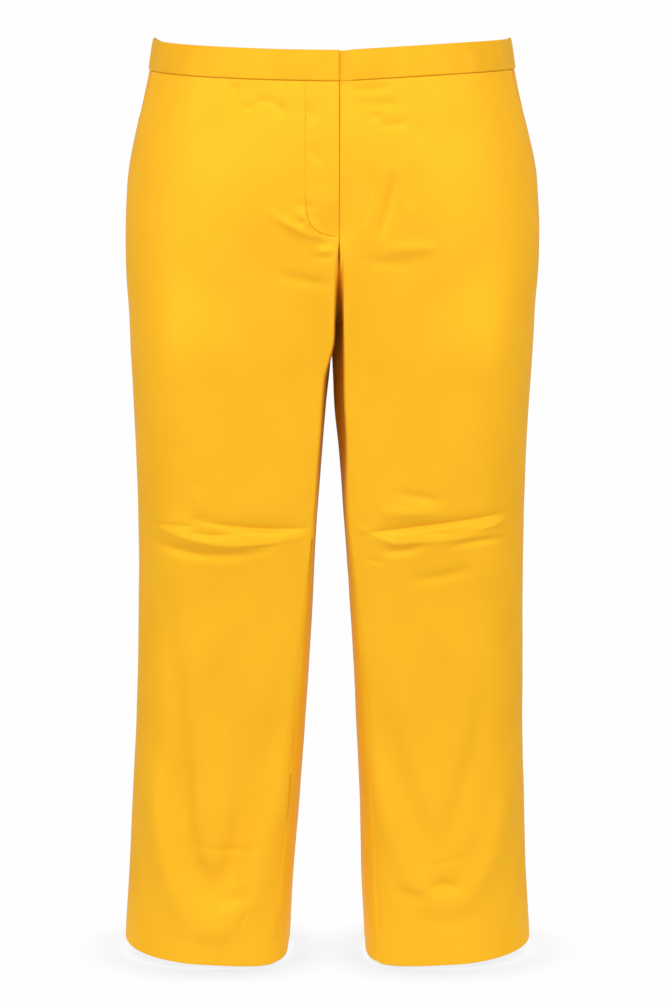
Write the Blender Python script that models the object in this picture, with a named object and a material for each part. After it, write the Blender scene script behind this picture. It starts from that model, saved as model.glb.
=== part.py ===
"""Straight-leg trousers, filled out as if worn, with nothing inside.

Metres, +Z up, front towards -Y, the wearer's left towards +X. The origin is the middle of the
waist opening, at the height of the waistband's upper edge at the sides. Every panel is a thin wall
laid on one smooth form: a body that forks into two legs, given by the sections below.
"""
import math
from collections import namedtuple

import bmesh
import bpy
from mathutils import Vector

# Cloth and seams
CLOTH_WALL = 0.0015
HEM_WALL = 0.003
HEM_DEPTH = 0.030
BAND_WALL = 0.003
BAND_HEIGHT = 0.032
BAND_PROUD = 0.0005
SEAM_GAP = 0.0003

# Heights
FRONT_DIP = 0.0262
RIGHT_DIP_STRAIGHTNESS = 0.85
LEFT_DIP_STRAIGHTNESS = 0.64
BACK_DIP = 0.001
CROTCH_Z = -0.305
FRONT_FORK_Z = -0.222
BACK_FORK_Z = -0.205
HEM_OUTER_Z = -0.9874
HEM_INNER_Z = -0.9917
HEM_BOW = 0.0115

# Shape of the sections
BODY_SQUARENESS = 2.3
LEG_SQUARENESS = 2.35
FACE_DROP = 0.06
OVAL_CORNER = 0.75
OVAL_SQUARER_FROM = math.pi * 0.36
OVAL_SQUARER_TO = math.pi * 0.74
OVAL_OUTER = 2.05
OVAL_INNER = {"front": 4.2, "back": 2.3}
ROUNDING_LIMIT = 0.9
FRONT_LEG_FROM_Z = -0.19
FRONT_LEG_TO_Z = -0.37
BACK_LEG_FROM_Z = -0.21
BACK_LEG_TO_Z = -0.41

# The opening at the front lies to the wearer's left of the middle
FLY_SHIFT = 0.0075
FLY_SHIFT_REACH = 0.075
FLY_SHIFT_FRONT_Y = -0.075
FLY_SHIFT_BACK_Y = -0.015
RIGHT_SHIFT_FADE = (-0.32, -0.37)
LEFT_SHIFT_FADE = (-0.50, -0.66)

# Fly and band opening
FLY_LENGTH = 0.165
FLY_DIP = 0.0019
FLY_DIP_REACH = 0.016
FLY_DIP_FADE = 0.012
UNDERLAP_WIDTH = 0.036
UNDERLAP_WALL = 0.0012
ZIP_WIDTH = 0.016
ZIP_WALL = 0.0008
BAND_UNDERLAP = 0.030
BAND_DIP_REACH = 0.014

# Slanted pocket mouths
MOUTH_SPAN = 0.158
MOUTH_END_ROW = 0.50
MOUTH_CURVE = 0.9
FACING_UNDER_COLUMNS = 2
FACING_WALL = 0.0012
FACING_DROP = 0.0030

# How finely the walls are divided. A panel's columns run from the side seam across its face to the
# corner where the legs part, at CORNER_U, and on over the inner face of the leg. Its rows run from
# the band seam (0) to the crotch point (1) and the hem's edge (2).
CORNER_U = 0.72
FACE_COLUMNS = 9
CORNER_COLUMNS = (0.80, 0.88, 0.945, 1.0)
INNER_COLUMNS = (0.14, 0.34, 0.60, 0.80, 1.0)
STRAIGHT_SEAM_ROW = 0.62
SEAT_ROWS = (0.0, 0.10, 0.20, 0.30, 0.40, 0.50, 0.57, 0.62, 0.68, 0.74, 0.80, 0.86, 0.91, 0.955, 0.985, 1.0)
THIGH_ROWS = (1.03, 1.07, 1.12, 1.18, 1.24, 1.285)
KNEE_FIRST_ROW = 1.305
KNEE_ROW_STEP = 0.0105
KNEE_ROW_COUNT = 9
SHIN_ROWS = (1.415, 1.45, 1.51, 1.58, 1.65, 1.72, 1.79, 1.84, 1.88, 1.92)
HEM_STEP_HALF_ROW = 0.0016
FACING_ROWS = 7
FLY_ROWS = 8
FLY_STEPS = 4
FRONT_BAND_STEPS = 16
BACK_BAND_STEPS = 14
BAND_DIP_STEPS = 5
BAND_UNDERLAP_STEPS = 4

# Small insets that keep pieces apart where they end, and steps for the normals
EDGE_INSET = 0.002
CROTCH_ROW_CLEAR = 0.015
BAND_END_INSET = 0.0008
FINITE_STEP = 0.002
HALVINGS = 30

SATIN_COLOUR = (0.95, 0.47, 0.022, 1.0)
ZIP_COLOUR = (0.80, 0.38, 0.02, 1.0)

# Half the width at the side seams, and how far the whole section stands to one side
Outline = namedtuple("Outline", "z half_width lean")
OUTLINE = (
    Outline(0.000, 0.1920, 0.0008),
    Outline(-0.030, 0.1966, 0.0008),
    Outline(-0.065, 0.2037, 0.0008),
    Outline(-0.100, 0.2115, 0.0008),
    Outline(-0.140, 0.2194, 0.0008),
    Outline(-0.175, 0.2230, 0.0008),
    Outline(-0.210, 0.2244, 0.0008),
    Outline(-0.250, 0.2236, 0.0008),
    Outline(-0.290, 0.2208, 0.0006),
    Outline(-0.330, 0.2191, 0.0004),
    Outline(-0.360, 0.2174, 0.0000),
    Outline(-0.400, 0.2154, -0.0006),
    Outline(-0.450, 0.2130, -0.0004),
    Outline(-0.500, 0.2113, -0.0004),
    Outline(-0.550, 0.2105, -0.0006),
    Outline(-0.600, 0.2109, -0.0008),
    Outline(-0.670, 0.2123, -0.0012),
    Outline(-0.750, 0.2137, -0.0024),
    Outline(-0.830, 0.2173, -0.0035),
    Outline(-0.910, 0.2204, -0.0045),
    Outline(-0.980, 0.2247, -0.0045),
    Outline(-1.010, 0.2258, -0.0045),
)

# Depths of the body in front of and behind the side seams
Body = namedtuple("Body", "z front back")
BODY = (
    Body(0.00, 0.124, 0.126),
    Body(-0.06, 0.132, 0.134),
    Body(-0.12, 0.137, 0.145),
    Body(-0.18, 0.138, 0.152),
    Body(-0.24, 0.135, 0.151),
    Body(-0.30, 0.129, 0.141),
    Body(-0.40, 0.116, 0.124),
)

# Legs: the inseam, the inner front edge, what the left leg stands in beyond both, the rounding of
# the edge, the depths, and how far the section is a plain oval
Leg = namedtuple("Leg", "z inseam edge left_in rounding front back oval")
LEG = (
    Leg(-0.19, 0.0000, 0.0040, 0.0000, 0.002, 0.133, 0.140, 0.00),
    Leg(-0.25, 0.0002, 0.0042, 0.0000, 0.002, 0.129, 0.135, 0.00),
    Leg(-0.30, 0.0003, 0.0048, 0.0000, 0.002, 0.124, 0.128, 0.00),
    Leg(-0.34, 0.0006, 0.0055, 0.0000, 0.003, 0.119, 0.120, 0.00),
    Leg(-0.36, 0.0022, 0.0065, -0.0004, 0.004, 0.116, 0.116, 0.00),
    Leg(-0.40, 0.0057, 0.0087, -0.0014, 0.005, 0.111, 0.109, 0.00),
    Leg(-0.45, 0.0102, 0.0121, -0.0012, 0.007, 0.106, 0.102, 0.03),
    Leg(-0.50, 0.0137, 0.0151, -0.0008, 0.009, 0.101, 0.096, 0.10),
    Leg(-0.55, 0.0168, 0.0180, -0.0001, 0.011, 0.097, 0.091, 0.20),
    Leg(-0.60, 0.0194, 0.0202, 0.0009, 0.013, 0.093, 0.087, 0.35),
    Leg(-0.67, 0.0228, 0.0234, 0.0024, 0.015, 0.090, 0.083, 0.55),
    Leg(-0.75, 0.0270, 0.0275, 0.0033, 0.016, 0.088, 0.080, 0.75),
    Leg(-0.83, 0.0317, 0.0321, 0.0034, 0.017, 0.088, 0.078, 0.90),
    Leg(-0.91, 0.0372, 0.0375, 0.0012, 0.017, 0.088, 0.077, 1.00),
    Leg(-1.01, 0.0434, 0.0436, -0.0014, 0.017, 0.089, 0.077, 1.00),
)

# The largest folds, each a soft trough (or a ridge where depth is negative) along a straight line.
# x is measured from the middle towards the side seam of its leg.
Fold = namedtuple("Fold", "face side x0 z0 x1 z1 depth width")
FOLDS = (
    Fold("front", -1, 0.158, -0.511, 0.022, -0.528, 0.0055, 0.0070),
    Fold("front", -1, 0.170, -0.527, 0.035, -0.541, -0.0035, 0.0080),
    Fold("front", -1, 0.205, -0.515, 0.100, -0.537, 0.0030, 0.0075),
    Fold("front", -1, 0.185, -0.546, 0.050, -0.552, 0.0025, 0.0100),
    Fold("front", 1, 0.048, -0.528, 0.195, -0.505, 0.0055, 0.0070),
    Fold("front", 1, 0.060, -0.541, 0.185, -0.521, -0.0035, 0.0080),
    Fold("front", 1, 0.024, -0.522, 0.095, -0.550, 0.0032, 0.0075),
    Fold("front", 1, 0.125, -0.540, 0.190, -0.529, 0.0025, 0.0080),
    Fold("back", -1, 0.180, -0.522, 0.060, -0.537, 0.0050, 0.0085),
    Fold("back", -1, 0.160, -0.558, 0.045, -0.544, 0.0035, 0.0085),
    Fold("back", 1, 0.055, -0.524, 0.170, -0.540, 0.0050, 0.0085),
    Fold("back", 1, 0.070, -0.562, 0.185, -0.552, 0.0035, 0.0085),
    Fold("front", -1, 0.095, -0.176, 0.012, -0.219, -0.0030, 0.0080),
    Fold("front", -1, 0.085, -0.200, 0.008, -0.237, 0.0025, 0.0075),
    Fold("front", 1, 0.042, -0.148, 0.020, -0.224, 0.0025, 0.0080),
    Fold("front", -1, 0.180, -0.880, 0.065, -0.925, 0.0030, 0.0160),
    Fold("front", 1, 0.160, -0.930, 0.060, -0.905, 0.0030, 0.0160),
    Fold("back", -1, 0.150, -0.300, 0.035, -0.330, 0.0040, 0.0120),
    Fold("back", 1, 0.140, -0.305, 0.030, -0.328, 0.0040, 0.0120),
)

FOLD_TAPER = 0.7


def clamp(value, low=0.0, high=1.0):
    return max(low, min(high, value))


def ease(value, start, end):
    """0 at start and beyond, 1 at end and beyond, smooth between."""
    share = clamp((value - start) / (end - start))
    return share * share * (3.0 - 2.0 * share)


def mix(a, b, share):
    return a + (b - a) * share


def read_table(table, column, z):
    """A smooth curve through one column of a table whose first column is the height, falling."""
    heights = [row.z for row in table]
    values = [getattr(row, column) for row in table]
    if z >= heights[0]:
        return values[0]
    if z <= heights[-1]:
        return values[-1]
    i = next(k for k in range(len(heights) - 1) if heights[k + 1] <= z)
    span = heights[i + 1] - heights[i]

    def slope(k):
        before = max(k - 1, 0)
        after = min(k + 1, len(heights) - 1)
        return (values[after] - values[before]) / (heights[after] - heights[before])

    s = (z - heights[i]) / span
    h00 = 2 * s**3 - 3 * s**2 + 1
    h10 = s**3 - 2 * s**2 + s
    h01 = 3 * s**2 - 2 * s**3
    h11 = s**3 - s**2
    return (
        h00 * values[i]
        + h10 * span * slope(i)
        + h01 * values[i + 1]
        + h11 * span * slope(i + 1)
    )


def rounded(angle, squareness):
    """Cosine and sine on a rounded square: 2 is a circle, more is squarer."""
    c = math.cos(angle)
    s = math.sin(angle)
    reach = (abs(c) ** squareness + abs(s) ** squareness) ** (-1.0 / squareness)
    return c * reach, s * reach


def oval_angle(u):
    """The angle round a plain oval leg that goes with u: 0 at the side seam, pi at the inseam."""
    if u > CORNER_U:
        return math.pi * mix(OVAL_CORNER, 1.0, (u - CORNER_U) / (1.0 - CORNER_U))
    share = u / CORNER_U
    if share <= 0.5:
        return math.pi * share
    past = 2.0 * share - 1.0
    return math.pi * (0.5 + 0.5 * past - (1.0 - OVAL_CORNER) * past**2)


def oval_point(face, angle):
    """Cosine and sine on the oval of a leg, which grows squarer towards the inseam."""
    inner = ease(angle, OVAL_SQUARER_FROM, OVAL_SQUARER_TO)
    return rounded(angle, mix(OVAL_OUTER, OVAL_INNER[face], inner))


def form_point(face, side, u, z):
    """A point of the form: u runs from the side seam (0) to the centre seam or inseam (1)."""
    out = -1.0 if face == "front" else 1.0
    half = read_table(OUTLINE, "half_width", z)
    more_in = read_table(LEG, "left_in", z) if side > 0 else 0.0
    edge = read_table(LEG, "edge", z) + more_in
    inseam = read_table(LEG, "inseam", z) + more_in
    rounding = read_table(LEG, "rounding", z)
    body_depth = read_table(BODY, face, z)
    leg_depth = read_table(LEG, face, z)
    starts = FRONT_LEG_FROM_Z if face == "front" else BACK_LEG_FROM_Z
    ends = FRONT_LEG_TO_Z if face == "front" else BACK_LEG_TO_Z
    forked = FRONT_FORK_Z if face == "front" else BACK_FORK_Z
    legness = ease(z, starts, ends)
    share = clamp(u / CORNER_U)

    c, s = rounded(share * math.pi / 2, BODY_SQUARENESS)
    body_x = edge + (half - edge) * c
    body_out = out * body_depth * s
    if share <= 0.5:
        c, s = rounded(share * math.pi, LEG_SQUARENESS)
    else:
        c = math.cos(share * math.pi)
        s = 1.0 - FACE_DROP * abs(c) ** 3
    centre = (half + edge) / 2
    leg_x = centre + (half - edge) / 2 * c
    leg_out = out * leg_depth * s
    x = mix(body_x, leg_x, legness)
    y = mix(body_out, leg_out, legness)

    corner_y = out * mix(body_depth, leg_depth * (1 - FACE_DROP), legness)
    depth_share = clamp((forked - z) / (forked - CROTCH_Z))
    seam_y = corner_y * math.sqrt(1.0 - depth_share**2)
    run = Vector((inseam - edge, seam_y - corner_y))
    length = run.length
    run.normalize()
    radius = min(rounding, ROUNDING_LIMIT * length)
    if u <= CORNER_U:
        away = math.hypot(x - edge, y - corner_y)
        if away < radius:
            x += (away + radius) ** 2 / (4 * radius) - away
            x += run.x * (radius - away) ** 2 / (4 * radius)
            y += run.y * (radius - away) ** 2 / (4 * radius)
    else:
        away = length * (u - CORNER_U) / (1.0 - CORNER_U)
        along = (away + radius) ** 2 / (4 * radius) if away < radius else away
        back = (radius - away) ** 2 / (4 * radius) if away < radius else 0.0
        x = edge + run.x * along + back
        y = corner_y + run.y * along

    oval = read_table(LEG, "oval", z) * legness
    c, s = oval_point(face, oval_angle(u))
    x = mix(x, (half + inseam) / 2 + (half - inseam) / 2 * c, oval)
    y = mix(y, out * leg_depth * s, oval)
    x = side * (x + SEAM_GAP / 2)
    fade = LEFT_SHIFT_FADE if side > 0 else RIGHT_SHIFT_FADE
    shift = FLY_SHIFT * math.exp(-((x / FLY_SHIFT_REACH) ** 2))
    shift *= ease(y, FLY_SHIFT_BACK_Y, FLY_SHIFT_FRONT_Y) * (1.0 - ease(z, *fade))
    return Vector((x + shift + read_table(OUTLINE, "lean", z), y, z))


def top_share(face, side, u):
    """How much of its dip the waistband's upper edge has at u: 0 at the side, 1 in the middle."""
    angle = clamp(u / CORNER_U) * math.pi / 2
    depth = math.sin(angle)
    if face == "back":
        return depth
    if side > 0:
        return mix(1.0 - math.cos(angle), depth, LEFT_DIP_STRAIGHTNESS)
    return mix(depth**2, depth, RIGHT_DIP_STRAIGHTNESS)


def top_height(face, side, u):
    """Height of the waistband's upper edge."""
    return -(FRONT_DIP if face == "front" else BACK_DIP) * top_share(face, side, u)


def row_height(face, side, u, row):
    """Height of a row of a panel: 0 is the band seam, 1 the crotch point and 2 the hem's edge."""
    if row <= 1.0:
        forked = FRONT_FORK_Z if face == "front" else BACK_FORK_Z
        seam_top = top_height(face, side, 1.0) - BAND_HEIGHT - SEAM_GAP
        if row < STRAIGHT_SEAM_ROW:
            middle = mix(seam_top, forked, row / STRAIGHT_SEAM_ROW)
        else:
            turn = (row - STRAIGHT_SEAM_ROW) / (1.0 - STRAIGHT_SEAM_ROW) * math.pi / 2
            middle = forked + (CROTCH_Z - forked) * math.sin(turn)
        at_side = mix(-BAND_HEIGHT - SEAM_GAP, CROTCH_Z, row)
        return mix(at_side, middle, top_share(face, side, u))
    down = row - 1.0
    across = (1.0 - math.cos(math.pi * u)) / 2
    hem_z = mix(HEM_OUTER_Z, HEM_INNER_Z, across) - HEM_BOW * math.sin(math.pi * u)
    return mix(CROTCH_Z, hem_z, down)


def grid_point(face, side, u, row):
    return form_point(face, side, u, row_height(face, side, u, row))


def normal_of(place, u, v):
    """The outward normal of a surface place(u, v), by small steps inside its limits."""
    low_u = max(u - FINITE_STEP, 0.0)
    high_u = min(u + FINITE_STEP, 1.0)
    along_u = place(high_u, v) - place(low_u, v)
    along_v = place(u, v + FINITE_STEP) - place(u, v - FINITE_STEP)
    return along_u.cross(along_v).normalized()


def panel_normal(face, side, u, row):
    turned = 1.0 if (face == "front") == (side > 0) else -1.0
    safe_row = row if abs(row - 1.0) > CROTCH_ROW_CLEAR / 2 else 1.0 - CROTCH_ROW_CLEAR
    safe_row = clamp(safe_row, FINITE_STEP, 2.0 - FINITE_STEP)
    return normal_of(lambda a, b: grid_point(face, side, a, b), u, safe_row) * turned


def fold_depth(face, side, point):
    """How far the largest folds press the cloth in at a point."""
    total = 0.0
    for fold in FOLDS:
        if fold.face != face or fold.side != side:
            continue
        start = Vector((fold.x0, fold.z0))
        run = Vector((fold.x1, fold.z1)) - start
        here = Vector((abs(point.x), point.z)) - start
        share = here.dot(run) / run.length_squared
        if not 0.0 < share < 1.0:
            continue
        away = abs(here.cross(run)) / run.length
        taper = math.sin(math.pi * share) ** FOLD_TAPER
        total += fold.depth * taper * math.exp(-((away / fold.width) ** 2))
    return total


def wall_thickness(row):
    """The cloth's wall, doubled below the hem row."""
    first = hem_row() - HEM_STEP_HALF_ROW
    last = hem_row() + HEM_STEP_HALF_ROW
    return mix(CLOTH_WALL, HEM_WALL, ease(row, first, last))


def satin(name, colour):
    material = bpy.data.materials.new(name)
    material.use_nodes = True
    shader = material.node_tree.nodes["Principled BSDF"]
    shader.inputs["Base Color"].default_value = colour
    shader.inputs["Roughness"].default_value = 0.45
    shader.inputs["Metallic"].default_value = 0.0
    material.diffuse_color = colour
    return material


def wall_object(name, outer, inner, colour, collection):
    """A closed wall between two grids of points, each a list of rows of equal length."""
    mesh_data = bmesh.new()
    layers = [[[mesh_data.verts.new(p) for p in row] for row in grid] for grid in (outer, inner)]
    rows = len(outer)
    columns = len(outer[0])
    for j in range(rows - 1):
        for i in range(columns - 1):
            for layer, step in ((layers[0], 1), (layers[1], -1)):
                corners = [layer[j][i], layer[j][i + 1], layer[j + 1][i + 1], layer[j + 1][i]]
                mesh_data.faces.new(corners[::step])
    rim = [(0, i) for i in range(columns)]
    rim += [(j, columns - 1) for j in range(1, rows)]
    rim += [(rows - 1, i) for i in range(columns - 2, -1, -1)]
    rim += [(j, 0) for j in range(rows - 2, 0, -1)]
    for k in range(len(rim)):
        j0, i0 = rim[k]
        j1, i1 = rim[(k + 1) % len(rim)]
        mesh_data.faces.new((layers[0][j1][i1], layers[0][j0][i0], layers[1][j0][i0], layers[1][j1][i1]))
    bmesh.ops.recalc_face_normals(mesh_data, faces=mesh_data.faces)
    mesh = bpy.data.meshes.new(name)
    mesh_data.to_mesh(mesh)
    mesh_data.free()
    mesh.shade_smooth()
    mesh.set_sharp_from_angle(angle=math.radians(40))
    mesh.materials.append(satin(name + "_satin", colour))
    piece = bpy.data.objects.new(name, mesh)
    collection.objects.link(piece)
    return piece


def hem_row():
    """The row where the turned hem ends."""
    return 2.0 - HEM_DEPTH / (CROTCH_Z - (HEM_OUTER_Z + HEM_INNER_Z) / 2)


def panel_rows():
    """Rows of a panel, closest at the crotch, the knees and the hem."""
    rows = [*SEAT_ROWS, *THIGH_ROWS]
    rows += [KNEE_FIRST_ROW + KNEE_ROW_STEP * k for k in range(KNEE_ROW_COUNT)]
    rows += [*SHIN_ROWS, hem_row() - HEM_STEP_HALF_ROW, hem_row() + HEM_STEP_HALF_ROW, 2.0]
    return rows


def panel_columns():
    """u of each column of a panel."""
    even = [CORNER_COLUMNS[0] * k / FACE_COLUMNS for k in range(FACE_COLUMNS)]
    face = [CORNER_U * share for share in (*even, *CORNER_COLUMNS)]
    return face + [mix(CORNER_U, 1.0, share) for share in INNER_COLUMNS]


def mouth_u(row):
    """Where the pocket mouth crosses a row of the front panel."""
    return MOUTH_SPAN * clamp(1.0 - row / MOUTH_END_ROW) ** MOUTH_CURVE


def fly_dip(side, u, row):
    """How far the left front sinks under the fly edge of the right front."""
    if side < 0:
        return 0.0
    point = grid_point("front", 1, u, row)
    edge = grid_point("front", 1, 1.0, row)
    seam_top = top_height("front", 1, 1.0) - BAND_HEIGHT
    near = 1.0 - ease((point - edge).length, 0.0, FLY_DIP_REACH)
    down = seam_top - point.z
    within = 1.0 - ease(down, FLY_LENGTH - FLY_DIP_FADE, FLY_LENGTH + FLY_DIP_FADE)
    return FLY_DIP * near * within


def panel(face, side, collection):
    """One of the four large panels, from the band seam to the hem."""
    name = f"{face}_{'right' if side < 0 else 'left'}"
    outer = []
    inner = []
    for row in panel_rows():
        outer_row = []
        inner_row = []
        first = mouth_u(row) if face == "front" else 0.0
        columns = panel_columns()
        for i, column in enumerate(columns):
            u = mix(first, 1.0, column)
            point = grid_point(face, side, u, row)
            normal = panel_normal(face, side, u, row)
            sunk = fold_depth(face, side, point)
            if face == "front":
                sunk += fly_dip(side, u, row)
            if i in (0, len(columns) - 1):
                inwards = EDGE_INSET if i == 0 else -EDGE_INSET
                near = grid_point(face, side, u + inwards, row)
                point = point + (near - point).normalized() * SEAM_GAP / 2
            outer_row.append(point - normal * sunk)
            inner_row.append(point - normal * (sunk + wall_thickness(row)))
        outer.append(outer_row)
        inner.append(inner_row)
    return wall_object(name, outer, inner, SATIN_COLOUR, collection)


def strip(name, face, side, us, rows, near, far, colour, collection):
    """A wall that follows the form between two depths below it, over given columns and rows."""
    outer = []
    inner = []
    for row in rows:
        points = [grid_point(face, side, u, row) for u in us(row)]
        normals = [panel_normal(face, side, u, row) for u in us(row)]
        outer.append([p - n * near for p, n in zip(points, normals)])
        inner.append([p - n * far for p, n in zip(points, normals)])
    return wall_object(name, outer, inner, colour, collection)


def pocket_facing(side, collection):
    """The hip piece behind a pocket mouth, from the side seam to under the front panel."""
    name = f"pocket_facing_{'right' if side < 0 else 'left'}"
    rows = SEAT_ROWS[:FACING_ROWS]

    def us(row):
        first = mouth_u(row)
        mouth = max(first, 3 * EDGE_INSET)
        covered = panel_columns()[1 : FACING_UNDER_COLUMNS + 1]
        shown = [EDGE_INSET, (EDGE_INSET + mouth) / 2, mouth]
        return shown + [mix(first, 1.0, column) for column in covered]

    near = FACING_DROP
    return strip(name, "front", side, us, rows, near, near + FACING_WALL, SATIN_COLOUR, collection)


def u_beside_centre(side, distance, z):
    """The u of the front form at a distance from its centre line, found by halving."""
    low = 0.5
    high = 1.0
    centre = form_point("front", side, 1.0, z).x
    for _ in range(HALVINGS):
        u = (low + high) / 2
        if abs(form_point("front", side, u, z).x - centre) > distance:
            low = u
        else:
            high = u
    return (low + high) / 2


def fly_strip(name, width, near, wall, colour, collection):
    """A strip behind the right front's fly edge, as long as the fly."""
    top_row = 0.012
    fly_end_row = 0.60
    edge_inset = 0.0004

    def us(row):
        z = row_height("front", -1, 1.0, row)
        widths = [mix(width, edge_inset, k / FLY_STEPS) for k in range(FLY_STEPS + 1)]
        return [u_beside_centre(-1, w, z) for w in widths]

    rows = [mix(top_row, fly_end_row, k / FLY_ROWS) for k in range(FLY_ROWS + 1)]
    return strip(name, "front", -1, us, rows, near, near + wall, colour, collection)


def band(name, face, side_ends, collection):
    """A waistband piece. side_ends gives (side, u) from its left end to its right end."""
    outer = []
    inner = []
    drops = (0.0, 0.5, 1.0)
    for drop in drops:
        outer_row = []
        inner_row = []
        for side, u, sunk in side_ends:
            z = top_height(face, side, u) - drop * BAND_HEIGHT

            def place(a, b, at_side=side):
                z_at = top_height(face, at_side, a) - b * BAND_HEIGHT
                return form_point(face, at_side, a, z_at)

            turned = 1.0 if (face == "front") == (side > 0) else -1.0
            normal = normal_of(place, u, clamp(drop, 0.01, 0.99)) * turned
            point = form_point(face, side, u, z)
            outer_row.append(point + normal * (BAND_PROUD - sunk))
            inner_row.append(point + normal * (BAND_PROUD - sunk - BAND_WALL))
        outer.append(outer_row)
        inner.append(inner_row)
    return wall_object(name, outer, inner, SATIN_COLOUR, collection)


def band_steps(count):
    """u of a band's columns from the side seam to the middle."""
    return [mix(BAND_END_INSET, 1.0, k / count) for k in range(count + 1)]


def front_bands(collection):
    """The two front bands; the left one sinks under the right one at the opening."""
    us = band_steps(FRONT_BAND_STEPS)
    band("waistband_front_right", "front", [(-1, u, 0.0) for u in us], collection)
    under = BAND_WALL + SEAM_GAP
    z = top_height("front", 1, 1.0)
    centre = form_point("front", 1, 1.0, z).x
    dip_from = 1.5 * BAND_DIP_REACH
    dip_to = 0.25 * BAND_DIP_REACH
    us = [u for u in us if form_point("front", 1, u, 0.0).x - centre > dip_from + EDGE_INSET]
    left = [(1, u, 0.0) for u in us]
    for k in range(BAND_DIP_STEPS + 1):
        away = mix(dip_from, dip_to, k / BAND_DIP_STEPS)
        sunk = under * (1.0 - ease(away, dip_to, BAND_DIP_REACH + dip_to))
        left.append((1, u_beside_centre(1, away, z), sunk))
    for k in range(BAND_UNDERLAP_STEPS + 1):
        away = BAND_UNDERLAP * k / BAND_UNDERLAP_STEPS
        left.append((-1, u_beside_centre(-1, away, z), under))
    band("waistband_front_left", "front", left, collection)


def back_band(collection):
    us = band_steps(BACK_BAND_STEPS)
    ends = [(1, u, 0.0) for u in us] + [(-1, u, 0.0) for u in us[::-1]]
    band("waistband_back", "back", ends, collection)


def clear_scene():
    for item in list(bpy.data.objects):
        bpy.data.objects.remove(item, do_unlink=True)


def main():
    clear_scene()
    collection = bpy.data.collections.new("straight_leg_trousers")
    bpy.context.scene.collection.children.link(collection)
    for face in ("front", "back"):
        for side in (-1, 1):
            panel(face, side, collection)
    for side in (-1, 1):
        pocket_facing(side, collection)
    zip_near = CLOTH_WALL + SEAM_GAP
    fly_strip("zip", ZIP_WIDTH, zip_near, ZIP_WALL, ZIP_COLOUR, collection)
    lap_near = zip_near + ZIP_WALL + SEAM_GAP
    fly_strip("fly_underlap", UNDERLAP_WIDTH, lap_near, UNDERLAP_WALL, SATIN_COLOUR, collection)
    front_bands(collection)
    back_band(collection)


main()
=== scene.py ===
"""Looks of the straight-leg trousers: thin satin on the form of the solids, with creases and stitching.

Metres, in the frame of the solids: +Z up, front towards -Y, the wearer's left towards +X. The form
repeats the sections of the solids, with two differences about the knees: LEG rounds the inner corners
of both legs less, and LEFT_SHIFT_FADE ends the fly's shift of the left leg higher up. The script makes
the cloth pieces, the stitches, the floor, the light and the camera.
"""
import math
from collections import namedtuple

import bpy
import numpy as np
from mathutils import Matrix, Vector


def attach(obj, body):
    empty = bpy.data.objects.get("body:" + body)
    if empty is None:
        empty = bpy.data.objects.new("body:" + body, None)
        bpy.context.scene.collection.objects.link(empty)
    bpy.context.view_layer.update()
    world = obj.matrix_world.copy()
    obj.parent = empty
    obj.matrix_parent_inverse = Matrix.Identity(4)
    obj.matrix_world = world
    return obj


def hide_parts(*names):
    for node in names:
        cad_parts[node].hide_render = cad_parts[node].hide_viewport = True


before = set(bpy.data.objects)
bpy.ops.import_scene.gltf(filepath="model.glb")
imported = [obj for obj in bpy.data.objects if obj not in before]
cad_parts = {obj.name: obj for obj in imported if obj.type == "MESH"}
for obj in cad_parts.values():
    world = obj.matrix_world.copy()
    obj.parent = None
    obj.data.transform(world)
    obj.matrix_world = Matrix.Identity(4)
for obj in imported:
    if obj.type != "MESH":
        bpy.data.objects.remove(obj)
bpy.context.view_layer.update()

# The form: sizes of the solids
BAND_WALL = 0.003
BAND_HEIGHT = 0.032
BAND_PROUD = 0.0005
SEAM_GAP = 0.0003
HEM_DEPTH = 0.030
FRONT_DIP = 0.0262
RIGHT_DIP_STRAIGHTNESS = 0.85
LEFT_DIP_STRAIGHTNESS = 0.64
BACK_DIP = 0.001
CROTCH_Z = -0.305
FORK_Z = {"front": -0.222, "back": -0.205}
LEG_FROM_Z = {"front": -0.19, "back": -0.21}
LEG_TO_Z = {"front": -0.37, "back": -0.41}
HEM_OUTER_Z = -0.9874
HEM_INNER_Z = -0.9917
HEM_BOW = 0.0115
BODY_SQUARENESS = 2.3
LEG_SQUARENESS = 2.35
FACE_DROP = 0.06
OVAL_CORNER = 0.75
OVAL_SQUARER_FROM = math.pi * 0.36
OVAL_SQUARER_TO = math.pi * 0.74
OVAL_OUTER = 2.05
OVAL_INNER = {"front": 4.2, "back": 2.3}
ROUNDING_LIMIT = 0.9
FLY_SHIFT = 0.0075
CENTRE_X = 0.009
FLY_SHIFT_REACH = 0.075
FLY_SHIFT_FRONT_Y = -0.075
FLY_SHIFT_BACK_Y = -0.015
RIGHT_SHIFT_FADE = (-0.32, -0.37)
LEFT_SHIFT_FADE = (-0.40, -0.53)
FLY_LENGTH = 0.165
FLY_DIP = 0.0019
FLY_DIP_REACH = 0.016
FLY_DIP_FADE = 0.012
UNDERLAP_WIDTH = 0.036
UNDERLAP_DEPTH = 0.0029
UNDERLAP_WALL = 0.0012
ZIP_WIDTH = 0.016
ZIP_DEPTH = 0.0018
ZIP_WALL = 0.0008
FLY_END_ROW = 0.60
FLY_TOP_ROW = 0.012
BAND_UNDERLAP = 0.030
BAND_DIP_REACH = 0.014
MOUTH_SPAN = 0.158
MOUTH_END_ROW = 0.50
MOUTH_CURVE = 0.9
CORNER_U = 0.72
STRAIGHT_SEAM_ROW = 0.62
CROTCH_ROW_CLEAR = 0.015
BAND_END_INSET = 0.0008
FINITE_STEP = 0.002
HALVINGS = 30

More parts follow.
